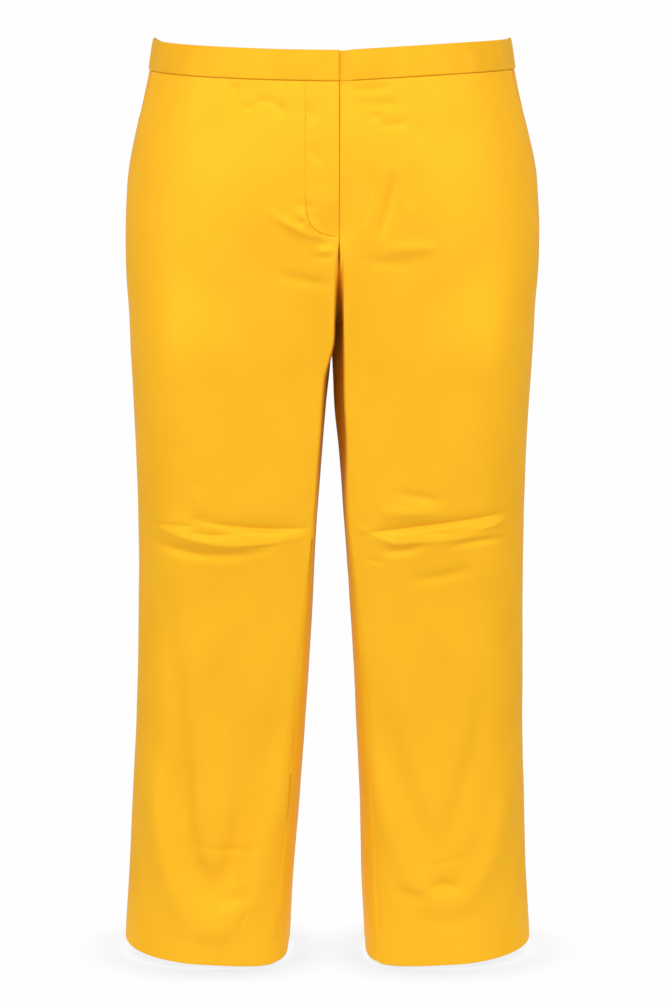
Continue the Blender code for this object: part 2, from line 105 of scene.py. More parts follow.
# The cloth in the scene
CLOTH = 0.0006
HEM_CLOTH = 0.0016
SEAM_ROLL = 0.0009
MOUTH_ROLL = 0.0009
FACING_DEPTH = 0.0036
HEM_ROLL = 0.0010
BAND_ROLL = 0.0010
ALLOWANCE = 0.0045
FLY_ALLOWANCE = 0.0008
SEAM_LIP = 0.003
PANEL_SPAN = 0.32
INNER_TOP_ROW = 0.0024
HEM_WALL_TURN = 0.0008
HEM_TURN_LIMIT = 0.9
FACING_SPAN = 0.10
FACING_SHARES = (0.0, 0.0, 0.01, 0.03, 0.07, *np.linspace(0.14, 1.0, 16))
FACING_RISE = 0.8
FACING_LEAST_RISE = 0.02
FACING_EDGE_DEPTH = 0.0003
FACING_TOP_ALLOWANCE = 0.002
FLY_STRIP_CLEAR = 0.0006
BAND_PADDING = 0.0004
BAND_PADDING_POWER = 0.6
BAND_ROLL_LIMIT = 0.48
BAND_DIP_CLEAR = 0.002
BAND_NORMAL_STEP = 0.0015
BAND_NORMAL_DROP = 0.001

Outline = namedtuple("Outline", "z half_width lean")
OUTLINE = (
    Outline(0.000, 0.1920, 0.0008),
    Outline(-0.030, 0.1966, 0.0008),
    Outline(-0.065, 0.2037, 0.0008),
    Outline(-0.100, 0.2115, 0.0008),
    Outline(-0.140, 0.2194, 0.0008),
    Outline(-0.175, 0.2230, 0.0008),
    Outline(-0.210, 0.2244, 0.0008),
    Outline(-0.250, 0.2236, 0.0008),
    Outline(-0.290, 0.2208, 0.0006),
    Outline(-0.330, 0.2191, 0.0004),
    Outline(-0.360, 0.2174, 0.0000),
    Outline(-0.400, 0.2154, -0.0006),
    Outline(-0.450, 0.2130, -0.0004),
    Outline(-0.500, 0.2113, -0.0004),
    Outline(-0.550, 0.2105, -0.0006),
    Outline(-0.600, 0.2109, -0.0008),
    Outline(-0.670, 0.2123, -0.0012),
    Outline(-0.750, 0.2137, -0.0024),
    Outline(-0.830, 0.2173, -0.0035),
    Outline(-0.910, 0.2204, -0.0045),
    Outline(-0.980, 0.2247, -0.0045),
    Outline(-1.010, 0.2258, -0.0045),
)

Body = namedtuple("Body", "z front back")
BODY = (
    Body(0.00, 0.124, 0.126),
    Body(-0.06, 0.132, 0.134),
    Body(-0.12, 0.137, 0.145),
    Body(-0.18, 0.138, 0.152),
    Body(-0.24, 0.135, 0.151),
    Body(-0.30, 0.129, 0.141),
    Body(-0.40, 0.116, 0.124),
)

Leg = namedtuple("Leg", "z inseam edge left_in rounding front back oval")
LEG = (
    Leg(-0.19, 0.0000, 0.0040, 0.0000, 0.002, 0.133, 0.140, 0.00),
    Leg(-0.25, 0.0002, 0.0042, 0.0000, 0.002, 0.129, 0.135, 0.00),
    Leg(-0.30, 0.0003, 0.0048, 0.0000, 0.002, 0.124, 0.128, 0.00),
    Leg(-0.34, 0.0006, 0.0055, 0.0000, 0.003, 0.119, 0.120, 0.00),
    Leg(-0.36, 0.0022, 0.0065, -0.0004, 0.004, 0.116, 0.116, 0.00),
    Leg(-0.40, 0.0057, 0.0087, -0.0014, 0.004, 0.111, 0.109, 0.00),
    Leg(-0.45, 0.0102, 0.0121, -0.0012, 0.004, 0.106, 0.102, 0.03),
    Leg(-0.50, 0.0137, 0.0151, -0.0008, 0.004, 0.101, 0.096, 0.10),
    Leg(-0.55, 0.0168, 0.0180, -0.0001, 0.005, 0.097, 0.091, 0.20),
    Leg(-0.60, 0.0194, 0.0202, 0.0009, 0.007, 0.093, 0.087, 0.35),
    Leg(-0.67, 0.0228, 0.0234, 0.0024, 0.011, 0.090, 0.083, 0.55),
    Leg(-0.75, 0.0270, 0.0275, 0.0033, 0.016, 0.088, 0.080, 0.75),
    Leg(-0.83, 0.0317, 0.0321, 0.0034, 0.017, 0.088, 0.078, 0.90),
    Leg(-0.91, 0.0372, 0.0375, 0.0012, 0.017, 0.088, 0.077, 1.00),
    Leg(-1.01, 0.0434, 0.0436, -0.0014, 0.017, 0.089, 0.077, 1.00),
)

# Sharp folds: a crease along a bowed line from (x0, z0) to (x1, z1), a ridge where depth is
# negative. bow is how far the middle of the line hangs below the straight one, above and below are
# the widths of the two slopes, and peak is where along the line it is deepest.
Fold = namedtuple("Fold", "face x0 z0 x1 z1 bow depth above below peak")
FOLDS = (
    # knee of the wearer's right leg
    Fold("front", -0.152, -0.5130, -0.022, -0.5240, 0.0058, 0.0063, 0.0075, 0.0042, 0.60),
    Fold("front", -0.187, -0.5230, -0.026, -0.5310, 0.0150, -0.0049, 0.0120, 0.0085, 0.42),
    Fold("front", -0.151, -0.5275, -0.097, -0.5295, 0.0030, 0.0026, 0.0034, 0.0020, 0.50),
    Fold("front", -0.195, -0.5205, -0.144, -0.5220, 0.0006, 0.0014, 0.0024, 0.0018, 0.55),
    Fold("front", -0.100, -0.5440, -0.040, -0.5360, 0.0040, 0.0008, 0.0030, 0.0022, 0.50),
    # knee of the wearer's left leg
    Fold("front", 0.034, -0.5295, 0.191, -0.5090, 0.0010, 0.0055, 0.0050, 0.0042, 0.42),
    Fold("front", 0.026, -0.5230, 0.072, -0.5415, 0.0006, -0.0033, 0.0045, 0.0042, 0.55),
    Fold("front", 0.062, -0.5400, 0.192, -0.5310, 0.0010, -0.0028, 0.0085, 0.0060, 0.30),
    Fold("front", 0.096, -0.5298, 0.136, -0.5283, 0.0004, 0.0009, 0.0018, 0.0016, 0.45),
    Fold("front", 0.150, -0.5262, 0.188, -0.5150, 0.0022, -0.0020, 0.0024, 0.0030, 0.60),
    Fold("front", 0.036, -0.5575, 0.058, -0.5612, 0.0000, 0.0011, 0.0028, 0.0020, 0.50),
    # crotch, on the wearer's right
    Fold("front", -0.068, -0.1890, -0.010, -0.2205, 0.0030, -0.0043, 0.0045, 0.0038, 0.60),
    Fold("front", -0.037, -0.1835, -0.014, -0.1875, 0.0004, 0.0029, 0.0026, 0.0022, 0.45),
    Fold("front", -0.017, -0.2258, 0.000, -0.2262, 0.0004, 0.0025, 0.0022, 0.0020, 0.50),
    Fold("front", -0.016, -0.2325, 0.004, -0.2320, 0.0010, -0.0033, 0.0034, 0.0030, 0.55),
    Fold("front", -0.026, -0.2392, 0.004, -0.2360, 0.0014, 0.0029, 0.0030, 0.0026, 0.50),
    Fold("front", -0.034, -0.2015, -0.027, -0.2040, 0.0002, 0.0021, 0.0024, 0.0022, 0.50),
    # crotch, on the wearer's left
    Fold("front", 0.043, -0.1460, 0.0315, -0.2120, 0.0012, 0.0030, 0.0028, 0.0028, 0.50),
    Fold("front", 0.065, -0.1520, 0.0480, -0.2240, 0.0020, 0.0065, 0.0058, 0.0058, 0.45),
    # puckers under the waistband
    Fold("front", -0.104, -0.0610, -0.092, -0.0685, 0.0002, 0.0026, 0.0026, 0.0022, 0.50),
    Fold("front", -0.079, -0.0785, -0.055, -0.0800, -0.0004, 0.0026, 0.0032, 0.0022, 0.50),
    Fold("front", -0.061, -0.0790, -0.044, -0.0945, -0.0010, 0.0030, 0.0036, 0.0030, 0.60),
    Fold("front", -0.093, -0.0840, -0.077, -0.0850, 0.0003, 0.0019, 0.0020, 0.0018, 0.50),
    Fold("front", 0.023, -0.0675, 0.063, -0.0630, 0.0016, 0.0022, 0.0024, 0.0020, 0.45),
    Fold("front", 0.038, -0.0958, 0.054, -0.0948, 0.0004, 0.0024, 0.0024, 0.0020, 0.50),
    Fold("front", 0.047, -0.1055, 0.082, -0.0995, 0.0006, 0.0026, 0.0042, 0.0030, 0.50),
    # lower leg, on the wearer's right
    Fold("front", -0.157, -0.8650, -0.079, -0.8730, 0.0045, 0.0024, 0.0035, 0.0024, 0.55),
    Fold("front", -0.091, -0.9370, -0.099, -0.9560, 0.0000, 0.0023, 0.0030, 0.0030, 0.50),
    # lower leg, on the wearer's left
    Fold("front", 0.092, -0.8900, 0.152, -0.8780, 0.0030, 0.0023, 0.0034, 0.0026, 0.45),
    # knees, seen from behind
    Fold("back", -0.184, -0.5210, -0.046, -0.5350, 0.0060, 0.0051, 0.0070, 0.0042, 0.42),
    Fold("back", -0.178, -0.5350, -0.040, -0.5450, 0.0130, -0.0034, 0.0110, 0.0085, 0.60),
    Fold("back", -0.112, -0.5040, -0.052, -0.5110, 0.0014, 0.0018, 0.0032, 0.0024, 0.50),
    Fold("back", 0.042, -0.5200, 0.180, -0.5360, 0.0055, 0.0051, 0.0068, 0.0042, 0.58),
    Fold("back", 0.036, -0.5330, 0.176, -0.5440, 0.0140, -0.0034, 0.0110, 0.0085, 0.40),
    Fold("back", 0.120, -0.5010, 0.188, -0.5120, 0.0010, 0.0018, 0.0032, 0.0024, 0.50),
)

# Soft creases: the same kind of line, with one rounded profile of one width
Crease = namedtuple("Crease", "face x0 z0 x1 z1 bow depth width peak")
CREASES = (
    # about the knees
    Crease("front", -0.190, -0.5400, -0.055, -0.5430, 0.0115, 0.0034, 0.0060, 0.45),
    Crease("front", -0.143, -0.4780, -0.136, -0.5120, 0.0000, -0.0020, 0.0065, 0.60),
    Crease("front", 0.052, -0.5080, 0.120, -0.5065, 0.0000, -0.0034, 0.0080, 0.45),
    Crease("front", 0.066, -0.4850, 0.122, -0.4960, 0.0000, 0.0020, 0.0050, 0.50),
    Crease("front", 0.052, -0.5480, 0.104, -0.5410, 0.0030, 0.0034, 0.0050, 0.45),
    Crease("front", 0.126, -0.5430, 0.190, -0.5360, -0.0020, 0.0025, 0.0045, 0.40),
    Crease("front", 0.080, -0.5790, 0.152, -0.5670, 0.0030, 0.0027, 0.0065, 0.55),
    # about the crotch
    Crease("front", -0.042, -0.1900, -0.010, -0.2200, -0.0040, -0.0027, 0.0036, 0.60),
    Crease("front", -0.058, -0.2560, 0.000, -0.2680, 0.0010, 0.0027, 0.0060, 0.50),
    Crease("front", -0.022, -0.1220, -0.011, -0.1440, 0.0000, 0.0018, 0.0040, 0.50),
    Crease("front", -0.028, -0.0800, -0.017, -0.1010, 0.0000, 0.0018, 0.0036, 0.50),
    Crease("front", 0.087, -0.1420, 0.080, -0.1900, 0.0000, 0.0024, 0.0050, 0.50),
    Crease("front", 0.088, -0.0940, 0.092, -0.1240, 0.0000, 0.0014, 0.0036, 0.50),
    Crease("front", 0.018, -0.0815, 0.074, -0.0815, 0.0000, 0.0018, 0.0044, 0.60),
    Crease("front", 0.054, -0.2300, 0.110, -0.2300, 0.0000, -0.0027, 0.0060, 0.50),
    Crease("front", 0.030, -0.2420, 0.090, -0.2460, 0.0010, 0.0023, 0.0060, 0.50),
    # lower leg, on the wearer's left
    Crease("front", 0.042, -0.6500, 0.112, -0.8850, 0.0100, 0.0054, 0.0130, 0.70),
    Crease("front", 0.172, -0.6500, 0.117, -0.8850, 0.0080, 0.0054, 0.0130, 0.70),
    Crease("front", 0.068, -0.9170, 0.108, -0.9270, 0.0010, 0.0036, 0.0070, 0.50),
    Crease("front", 0.104, -0.9130, 0.142, -0.9150, -0.0020, 0.0049, 0.0065, 0.50),
    # lower leg, on the wearer's right
    Crease("front", -0.120, -0.9330, -0.083, -0.9130, 0.0030, 0.0036, 0.0080, 0.50),
    Crease("front", -0.178, -0.6000, -0.152, -0.8400, 0.0000, 0.0039, 0.0120, 0.60),
    Crease("front", -0.050, -0.6400, -0.080, -0.8800, 0.0000, 0.0033, 0.0110, 0.60),
    # under the seat
    Crease("back", -0.160, -0.2960, -0.030, -0.3280, 0.0060, 0.0047, 0.0110, 0.60),
    Crease("back", -0.100, -0.3400, -0.026, -0.3520, 0.0030, 0.0023, 0.0080, 0.55),
    Crease("back", 0.026, -0.3260, 0.150, -0.3000, 0.0070, 0.0047, 0.0110, 0.40),
    Crease("back", 0.034, -0.3520, 0.120, -0.3360, 0.0030, 0.0023, 0.0080, 0.45),
    Crease("back", -0.070, -0.2400, -0.014, -0.2850, 0.0000, 0.0021, 0.0065, 0.55),
    Crease("back", 0.078, -0.2320, 0.015, -0.2800, 0.0000, 0.0021, 0.0065, 0.55),
    # lower legs, seen from behind
    Crease("back", -0.180, -0.8000, -0.090, -0.8720, 0.0100, 0.0021, 0.0110, 0.60),
    Crease("back", -0.170, -0.9020, -0.095, -0.9150, 0.0060, 0.0018, 0.0070, 0.45),
    Crease("back", 0.088, -0.8680, 0.186, -0.8020, 0.0100, 0.0021, 0.0110, 0.40),
    Crease("back", 0.090, -0.9200, 0.160, -0.9050, 0.0060, 0.0018, 0.0070, 0.55),
)

# Hanging swags: a ridge along the lower half of an oval round (x, z)
Swag = namedtuple("Swag", "face x z half_width drop height width")
SWAGS = (
    Swag("front", -0.129, -0.745, 0.066, 0.212, 0.0072, 0.0170),
    Swag("front", -0.128, -0.735, 0.040, 0.178, -0.0068, 0.0150),
    Swag("front", 0.124, -0.760, 0.068, 0.172, 0.0060, 0.0150),
    Swag("back", -0.132, -0.780, 0.072, 0.165, 0.0026, 0.0160),
    Swag("back", -0.132, -0.780, 0.042, 0.125, -0.0022, 0.0150),
    Swag("back", 0.136, -0.770, 0.068, 0.172, 0.0026, 0.0160),
    Swag("back", 0.136, -0.770, 0.040, 0.130, -0.0022, 0.0150),
)

# Broad soft hollows (negative: swellings)
Dent = namedtuple("Dent", "face x z half_width half_height depth")
DENTS = (
    Dent("front", -0.002, -0.2130, 0.018, 0.022, 0.0054),
    Dent("front", 0.020, -0.1950, 0.011, 0.036, 0.0042),
    Dent("front", 0.0105, -0.0620, 0.004, 0.0022, 0.0020),
    Dent("front", 0.050, -0.5320, 0.014, 0.004, 0.0012),
    Dent("front", -0.128, -0.8960, 0.028, 0.014, 0.0020),
    Dent("back", -0.130, -0.8700, 0.040, 0.050, 0.0024),
    Dent("back", 0.134, -0.8800, 0.038, 0.048, 0.0024),
)

# How a line's depth fades to its ends, and how round the bottom of a sharp fold is
LINE_TAPER = 0.8
FOLD_ROUND = 0.0007
FOLD_END_WIDTH = 0.6

# Where a swag fades in below its middle, in shares of its drop, and the least reach used there
SWAG_FADE = (-0.05, 0.55)
SWAG_MIDDLE = 0.05

# Creases die away where the cloth turns to the side: the share of its normal that faces front or back
RELIEF_FADE = (0.15, 0.60)

# They also die away this close to the band seam, which the stitching holds level
RELIEF_TOP_FADE = 0.008

# Slow waves that keep the cloth from lying dead smooth: wavelengths and heights
RIPPLE_COUNT = 14
RIPPLE_SHORTEST = 0.045
RIPPLE_LONGEST = 0.20
RIPPLE_HEIGHT = 0.00016
RIPPLE_HEADING = 0.55
RIPPLE_SEEDS = {"front": 17, "back": 27}

# Uneven waves along the waistband, where it is stitched through
BandWave = namedtuple("BandWave", "length start height")
BAND_WAVES = (
    BandWave(0.074, 0.20, 0.00040),
    BandWave(0.041, 0.65, 0.00032),
    BandWave(0.026, 0.10, 0.00020),
    BandWave(0.017, 0.40, 0.00010),
)

# Darts at the back and the line stitched beside the fly
DART_X = 0.078
DART_TOP_Z = -0.033
DART_LENGTH = 0.095
DART_DEPTH = 0.0007
DART_WIDTH = 0.0020
FLY_STITCH_AWAY = 0.0345
FLY_STITCH_STRAIGHT_Z = -0.178
FLY_STITCH_END_Z = -0.2172
FLY_STITCH_SQUARENESS = 2.6
FLY_STITCH_DEPTH = 0.0005
FLY_STITCH_WIDTH = 0.0018
FLY_STITCH_STEP = 0.0012
FLY_STITCH_STRAIGHT_DEPTH = 0.4
FLY_STITCH_TOP_U = 0.9
FLY_STITCH_TOP_CLEAR = 0.003
FLY_STITCH_TURN = math.pi / 2 * 0.96
FLY_STITCH_STRAIGHT_POINTS = 60
FLY_STITCH_TURN_POINTS = 50
HEM_STITCH_UP = 0.0275
HEM_STITCH_DEPTH = 0.00022
HEM_STITCH_WIDTH = 0.0020
HEM_STITCH_US = (0.004, 0.996)
HEM_STITCH_POINTS = 160
HEM_STITCH_SPACING = 0.0075
HEM_STITCH_LENGTH = 0.0011

# Stitches
STITCH_STEP = 0.0034
STITCH_RADIUS = 0.00019
TOP_STITCH_RADIUS = 0.00030
TOP_STITCH_LENGTH = 0.0031
STITCH_SUNK = 0.00030
STITCH_SIDES = 6
TACK_LENGTH = 0.0045
TACK_WIDTH = 0.0016
TACK_STITCHES = 9
TACK_ROWS = (0.19, 0.46)
TACK_INSET = 0.009
MOUTH_STITCH_ROWS = (0.015, 0.485)
MOUTH_STITCH_INSET = 0.006
MOUTH_STITCH_POINTS = 120
TACK_LIFT = 0.0001
TACK_HEADING_U = 0.004
TACK_LEAN = 0.4

# Cross-sections along one stitch: the share of its length and of its radius, and how deep it is set
ThreadRing = namedtuple("ThreadRing", "share size")
THREAD_RINGS = (
    ThreadRing(0.0, 0.35),
    ThreadRing(0.14, 0.85),
    ThreadRing(0.5, 1.15),
    ThreadRing(0.86, 0.85),
    ThreadRing(1.0, 0.35),
)
THREAD_SET = 0.3

# Mesh divisions
FACE_STEPS = 96
INNER_STEPS = 24
FACE_CROWDING = 0.35
HIP_STEPS = 42
SEAT_STEPS = 54
HIP_TO_ROW = 0.5
THIGH_STEPS = 62
KNEE_STEPS = 88
SHIN_STEPS = 128
KNEE_FROM_ROW = 1.26
KNEE_TO_ROW = 1.41
EDGE_STEPS = (0.0012, 0.0030, 0.0060)
EDGE_CLEAR = 1.4
TOP_ROWS = (0.0, 0.0, 0.002, 0.005)
TOP_CLEAR = 0.007
HEM_EDGE = 0.0007
HEM_ROWS = (4.0, 2.2, 1.0, 0.35, 0.0)
HEM_CLEAR = 5.5
BAND_STEPS = 110
BAND_UNDER_STEPS = 8
BAND_DROPS = np.array([0.0, 0.012, 0.03, 0.055, *np.linspace(0.1, 0.9, 13), 0.945, 0.97, 0.988, 1.0])
BAND_CLOSE = np.array([0.0, 0.0012, 0.003, 0.006])
BAND_EVEN = (0.01, 0.985)
STRIP_ROWS = 60
FLY_STRIP_COLUMNS = 13


def clamp(value, low=0.0, high=1.0):
    return np.clip(value, low, high)


def ease(value, start, end):
    """0 at start and beyond, 1 at end and beyond, smooth between."""
    share = clamp((value - start) / (end - start))
    return share * share * (3.0 - 2.0 * share)


def mix(a, b, share):
    return a + (b - a) * share


def unit(vectors):
    return vectors / np.linalg.norm(vectors, axis=-1, keepdims=True)


def read_table(table, column, z):
    """A smooth curve through one column of a table whose first column is the height, falling."""
    heights = np.array([row.z for row in table])
    values = np.array([getattr(row, column) for row in table])
    places = np.arange(len(heights))
    before = np.maximum(places - 1, 0)
    after = np.minimum(places + 1, len(heights) - 1)
    slopes = (values[after] - values[before]) / (heights[after] - heights[before])
    z = np.clip(z, heights[-1], heights[0])
    i = np.clip(np.searchsorted(-heights, -z) - 1, 0, len(heights) - 2)
    span = heights[i + 1] - heights[i]
    s = (z - heights[i]) / span
    h00 = 2 * s**3 - 3 * s**2 + 1
    h10 = s**3 - 2 * s**2 + s
    h01 = 3 * s**2 - 2 * s**3
    h11 = s**3 - s**2
    bent = span * (h10 * slopes[i] + h11 * slopes[i + 1])
    return h00 * values[i] + h01 * values[i + 1] + bent


def rounded(angle, squareness):
    """Cosine and sine on a rounded square: 2 is a circle, more is squarer."""
    c = np.cos(angle)
    s = np.sin(angle)
    reach = (np.abs(c) ** squareness + np.abs(s) ** squareness) ** (-1.0 / squareness)
    return c * reach, s * reach


def oval_angle(u):
    """The angle round a plain oval leg that goes with u: 0 at the side seam, pi at the inseam."""
    share = u / CORNER_U
    past = 2.0 * share - 1.0
    bent = math.pi * (0.5 + 0.5 * past - (1.0 - OVAL_CORNER) * past**2)
    inner = math.pi * mix(OVAL_CORNER, 1.0, (u - CORNER_U) / (1.0 - CORNER_U))
    return np.where(u > CORNER_U, inner, np.where(share <= 0.5, math.pi * share, bent))


def oval_point(face, angle):
    """Cosine and sine on the oval of a leg, which grows squarer towards the inseam."""
    inner = ease(angle, OVAL_SQUARER_FROM, OVAL_SQUARER_TO)
    return rounded(angle, mix(OVAL_OUTER, OVAL_INNER[face], inner))


def form(face, side, u, z):
    """Points of the form: u runs from the side seam (0) to the centre seam or inseam (1)."""
    u, z = np.broadcast_arrays(np.asarray(u, float), np.asarray(z, float))
    out = -1.0 if face == "front" else 1.0
    half = read_table(OUTLINE, "half_width", z)
    more_in = read_table(LEG, "left_in", z) if side > 0 else 0.0
    edge = read_table(LEG, "edge", z) + more_in
    inseam = read_table(LEG, "inseam", z) + more_in
    rounding = read_table(LEG, "rounding", z)
    body_depth = read_table(BODY, face, z)
    leg_depth = read_table(LEG, face, z)
    legness = ease(z, LEG_FROM_Z[face], LEG_TO_Z[face])
    share = clamp(u / CORNER_U)

    c, s = rounded(share * math.pi / 2, BODY_SQUARENESS)
    body_x = edge + (half - edge) * c
    body_out = out * body_depth * s
    outer_c, outer_s = rounded(share * math.pi, LEG_SQUARENESS)
    inner_c = np.cos(share * math.pi)
    inner_s = 1.0 - FACE_DROP * np.abs(inner_c) ** 3
    c = np.where(share <= 0.5, outer_c, inner_c)
    s = np.where(share <= 0.5, outer_s, inner_s)
    centre = (half + edge) / 2
    x = mix(body_x, centre + (half - edge) / 2 * c, legness)
    y = mix(body_out, out * leg_depth * s, legness)

    corner_y = out * mix(body_depth, leg_depth * (1 - FACE_DROP), legness)
    depth_share = clamp((FORK_Z[face] - z) / (FORK_Z[face] - CROTCH_Z))
    seam_y = corner_y * np.sqrt(1.0 - depth_share**2)
    length = np.hypot(inseam - edge, seam_y - corner_y)
    run_x = (inseam - edge) / length
    run_y = (seam_y - corner_y) / length
    radius = np.minimum(rounding, ROUNDING_LIMIT * length)

    away = np.hypot(x - edge, y - corner_y)
    bend = np.where(away < radius, (radius - away) ** 2 / (4 * radius), 0.0)
    slide = np.where(away < radius, (away + radius) ** 2 / (4 * radius) - away, 0.0)
    face_x = x + slide + run_x * bend
    face_y = y + run_y * bend
    away = length * (u - CORNER_U) / (1.0 - CORNER_U)
    along = np.where(away < radius, (away + radius) ** 2 / (4 * radius), away)
    back = np.where(away < radius, (radius - away) ** 2 / (4 * radius), 0.0)
    x = np.where(u > CORNER_U, edge + run_x * along + back, face_x)
    y = np.where(u > CORNER_U, corner_y + run_y * along, face_y)

    oval = read_table(LEG, "oval", z) * legness
    c, s = oval_point(face, oval_angle(u))
    x = mix(x, (half + inseam) / 2 + (half - inseam) / 2 * c, oval)
    y = mix(y, out * leg_depth * s, oval)
    x = side * (x + SEAM_GAP / 2)
    fade = LEFT_SHIFT_FADE if side > 0 else RIGHT_SHIFT_FADE
    shift = FLY_SHIFT * np.exp(-((x / FLY_SHIFT_REACH) ** 2))
    shift = shift * ease(y, FLY_SHIFT_BACK_Y, FLY_SHIFT_FRONT_Y) * (1.0 - ease(z, *fade))
    return np.stack([x + shift + read_table(OUTLINE, "lean", z), y, z], axis=-1)


def top_share(face, side, u):
    """How much of its dip the waistband's upper edge has at u: 0 at the side, 1 in the middle."""
    angle = clamp(np.asarray(u, float) / CORNER_U) * math.pi / 2
    depth = np.sin(angle)
    if face == "back":
        return depth
    if side > 0:
        return mix(1.0 - np.cos(angle), depth, LEFT_DIP_STRAIGHTNESS)
    return mix(depth**2, depth, RIGHT_DIP_STRAIGHTNESS)


def top_height(face, side, u):
    """Height of the waistband's upper edge."""
    return -(FRONT_DIP if face == "front" else BACK_DIP) * top_share(face, side, u)


def row_height(face, side, u, row):
    """Height of a row of a panel: 0 is the band seam, 1 the crotch point and 2 the hem's edge."""
    forked = FORK_Z[face]
    seam_top = top_height(face, side, 1.0) - BAND_HEIGHT - SEAM_GAP
    straight = mix(seam_top, forked, row / STRAIGHT_SEAM_ROW)
    turn = clamp((row - STRAIGHT_SEAM_ROW) / (1.0 - STRAIGHT_SEAM_ROW)) * math.pi / 2
    curved = forked + (CROTCH_Z - forked) * np.sin(turn)
    middle = np.where(row < STRAIGHT_SEAM_ROW, straight, curved)
    at_side = mix(-BAND_HEIGHT - SEAM_GAP, CROTCH_Z, row)
    above = mix(at_side, middle, top_share(face, side, u))
    across = (1.0 - np.cos(math.pi * u)) / 2
    hem_z = mix(HEM_OUTER_Z, HEM_INNER_Z, across) - HEM_BOW * np.sin(math.pi * u)
    return np.where(row <= 1.0, above, mix(CROTCH_Z, hem_z, row - 1.0))


def grid_points(face, side, u, row):
    return form(face, side, u, row_height(face, side, u, row))


def facing_out(face, side):
    return 1.0 if (face == "front") == (side > 0) else -1.0


def grid_normals(face, side, u, row):
    """Outward normals, by small steps inside a panel's limits and off the crotch point's row."""
    u, row = np.broadcast_arrays(np.asarray(u, float), np.asarray(row, float))
    near_crotch = np.abs(row - 1.0) <= CROTCH_ROW_CLEAR / 2
    row = np.where(near_crotch, 1.0 - CROTCH_ROW_CLEAR, row)
    row = clamp(row, FINITE_STEP, 2.0 - FINITE_STEP)
    low = np.maximum(u - FINITE_STEP, 0.0)
    high = np.minimum(u + FINITE_STEP, 1.0)
    along = grid_points(face, side, high, row) - grid_points(face, side, low, row)
    below = grid_points(face, side, u, row + FINITE_STEP)
    above = grid_points(face, side, u, row - FINITE_STEP)
    return unit(np.cross(along, below - above) * facing_out(face, side))


def hem_row():
    """The row where the turned hem ends."""
    return 2.0 - HEM_DEPTH / (CROTCH_Z - (HEM_OUTER_Z + HEM_INNER_Z) / 2)


def mouth_u(row):
    """Where the pocket mouth crosses a row of the front panel."""
    return MOUTH_SPAN * clamp(1.0 - np.asarray(row, float) / MOUTH_END_ROW) ** MOUTH_CURVE


# ---- relief


def beside_line(line, x, z):
    """How far points lie below a bowed line, and its depth's taper along it."""
    run_x = line.x1 - line.x0
    run_z = line.z1 - line.z0
    length = math.hypot(run_x, run_z)
    dx = x - line.x0
    dz = z - line.z0
    share = (dx * run_x + dz * run_z) / length**2
    below = (dx * run_z - dz * run_x) / length * math.copysign(1.0, run_x)
    below = below - line.bow * 4.0 * clamp(share) * (1.0 - clamp(share))
    lengthwise = clamp(share) ** (math.log(0.5) / math.log(line.peak))
    return below, np.sin(math.pi * lengthwise) ** LINE_TAPER


def fold_height(fold, x, z):
    below, taper = beside_line(fold, x, z)
    width = np.where(below < 0.0, fold.above, fold.below) * mix(FOLD_END_WIDTH, 1.0, taper)
    reach = np.sqrt(below**2 + FOLD_ROUND**2) - FOLD_ROUND
    return -fold.depth * taper * np.exp(-reach / width)


def crease_height(crease, x, z):
    below, taper = beside_line(crease, x, z)
    return -crease.depth * taper * np.exp(-((below / crease.width) ** 2))


def swag_height(swag, x, z):
    right = (x - swag.x) / swag.half_width
    down = (swag.z - z) / swag.drop
    reach = np.hypot(right, down)
    slope = np.hypot(right / swag.half_width, down / swag.drop) / np.maximum(reach, SWAG_MIDDLE)
    away = (reach - 1.0) / np.maximum(slope, 1.0)
    taper = ease(down, *SWAG_FADE)
    return swag.height * taper * np.exp(-((away / swag.width) ** 2))


def dent_height(dent, x, z):
    right = (x - dent.x) / dent.half_width
    down = (z - dent.z) / dent.half_height
    return -dent.depth * np.exp(-(right**2) - down**2)


def ripples(face, side, u, z):
    """Slow waves over the whole panel, always the same for each panel."""
    chance = np.random.default_rng(RIPPLE_SEEDS[face] + side)
    across = u * PANEL_SPAN
    total = np.zeros(np.broadcast(u, z).shape)
    for _ in range(RIPPLE_COUNT):
        wavelength = RIPPLE_SHORTEST * (RIPPLE_LONGEST / RIPPLE_SHORTEST) ** chance.random()
        heading = chance.normal(0.0, RIPPLE_HEADING)
        phase = chance.random() * 2 * math.pi
        wave = (across * math.cos(heading) + z * math.sin(heading)) / wavelength
        total = total + wavelength / RIPPLE_SHORTEST * np.sin(2 * math.pi * wave + phase)
    return RIPPLE_HEIGHT * total / math.sqrt(RIPPLE_COUNT)


def line_groove(distance, depth, width):
    return -depth * np.exp(-((distance / width) ** 2))


def off_fly_line(away, z):
    """How far points lie outside the J-shaped line of the fly, away being from the fly's edge."""
    drop = FLY_STITCH_STRAIGHT_Z - FLY_STITCH_END_Z
    down = np.maximum(FLY_STITCH_STRAIGHT_Z - z, 0.0) / drop
    across = np.maximum(away, 0.0) / FLY_STITCH_AWAY
    power = FLY_STITCH_SQUARENESS
    reach = (across**power + down**power) ** (1.0 / power)
    return (reach - 1.0) * (FLY_STITCH_AWAY + drop) / 2


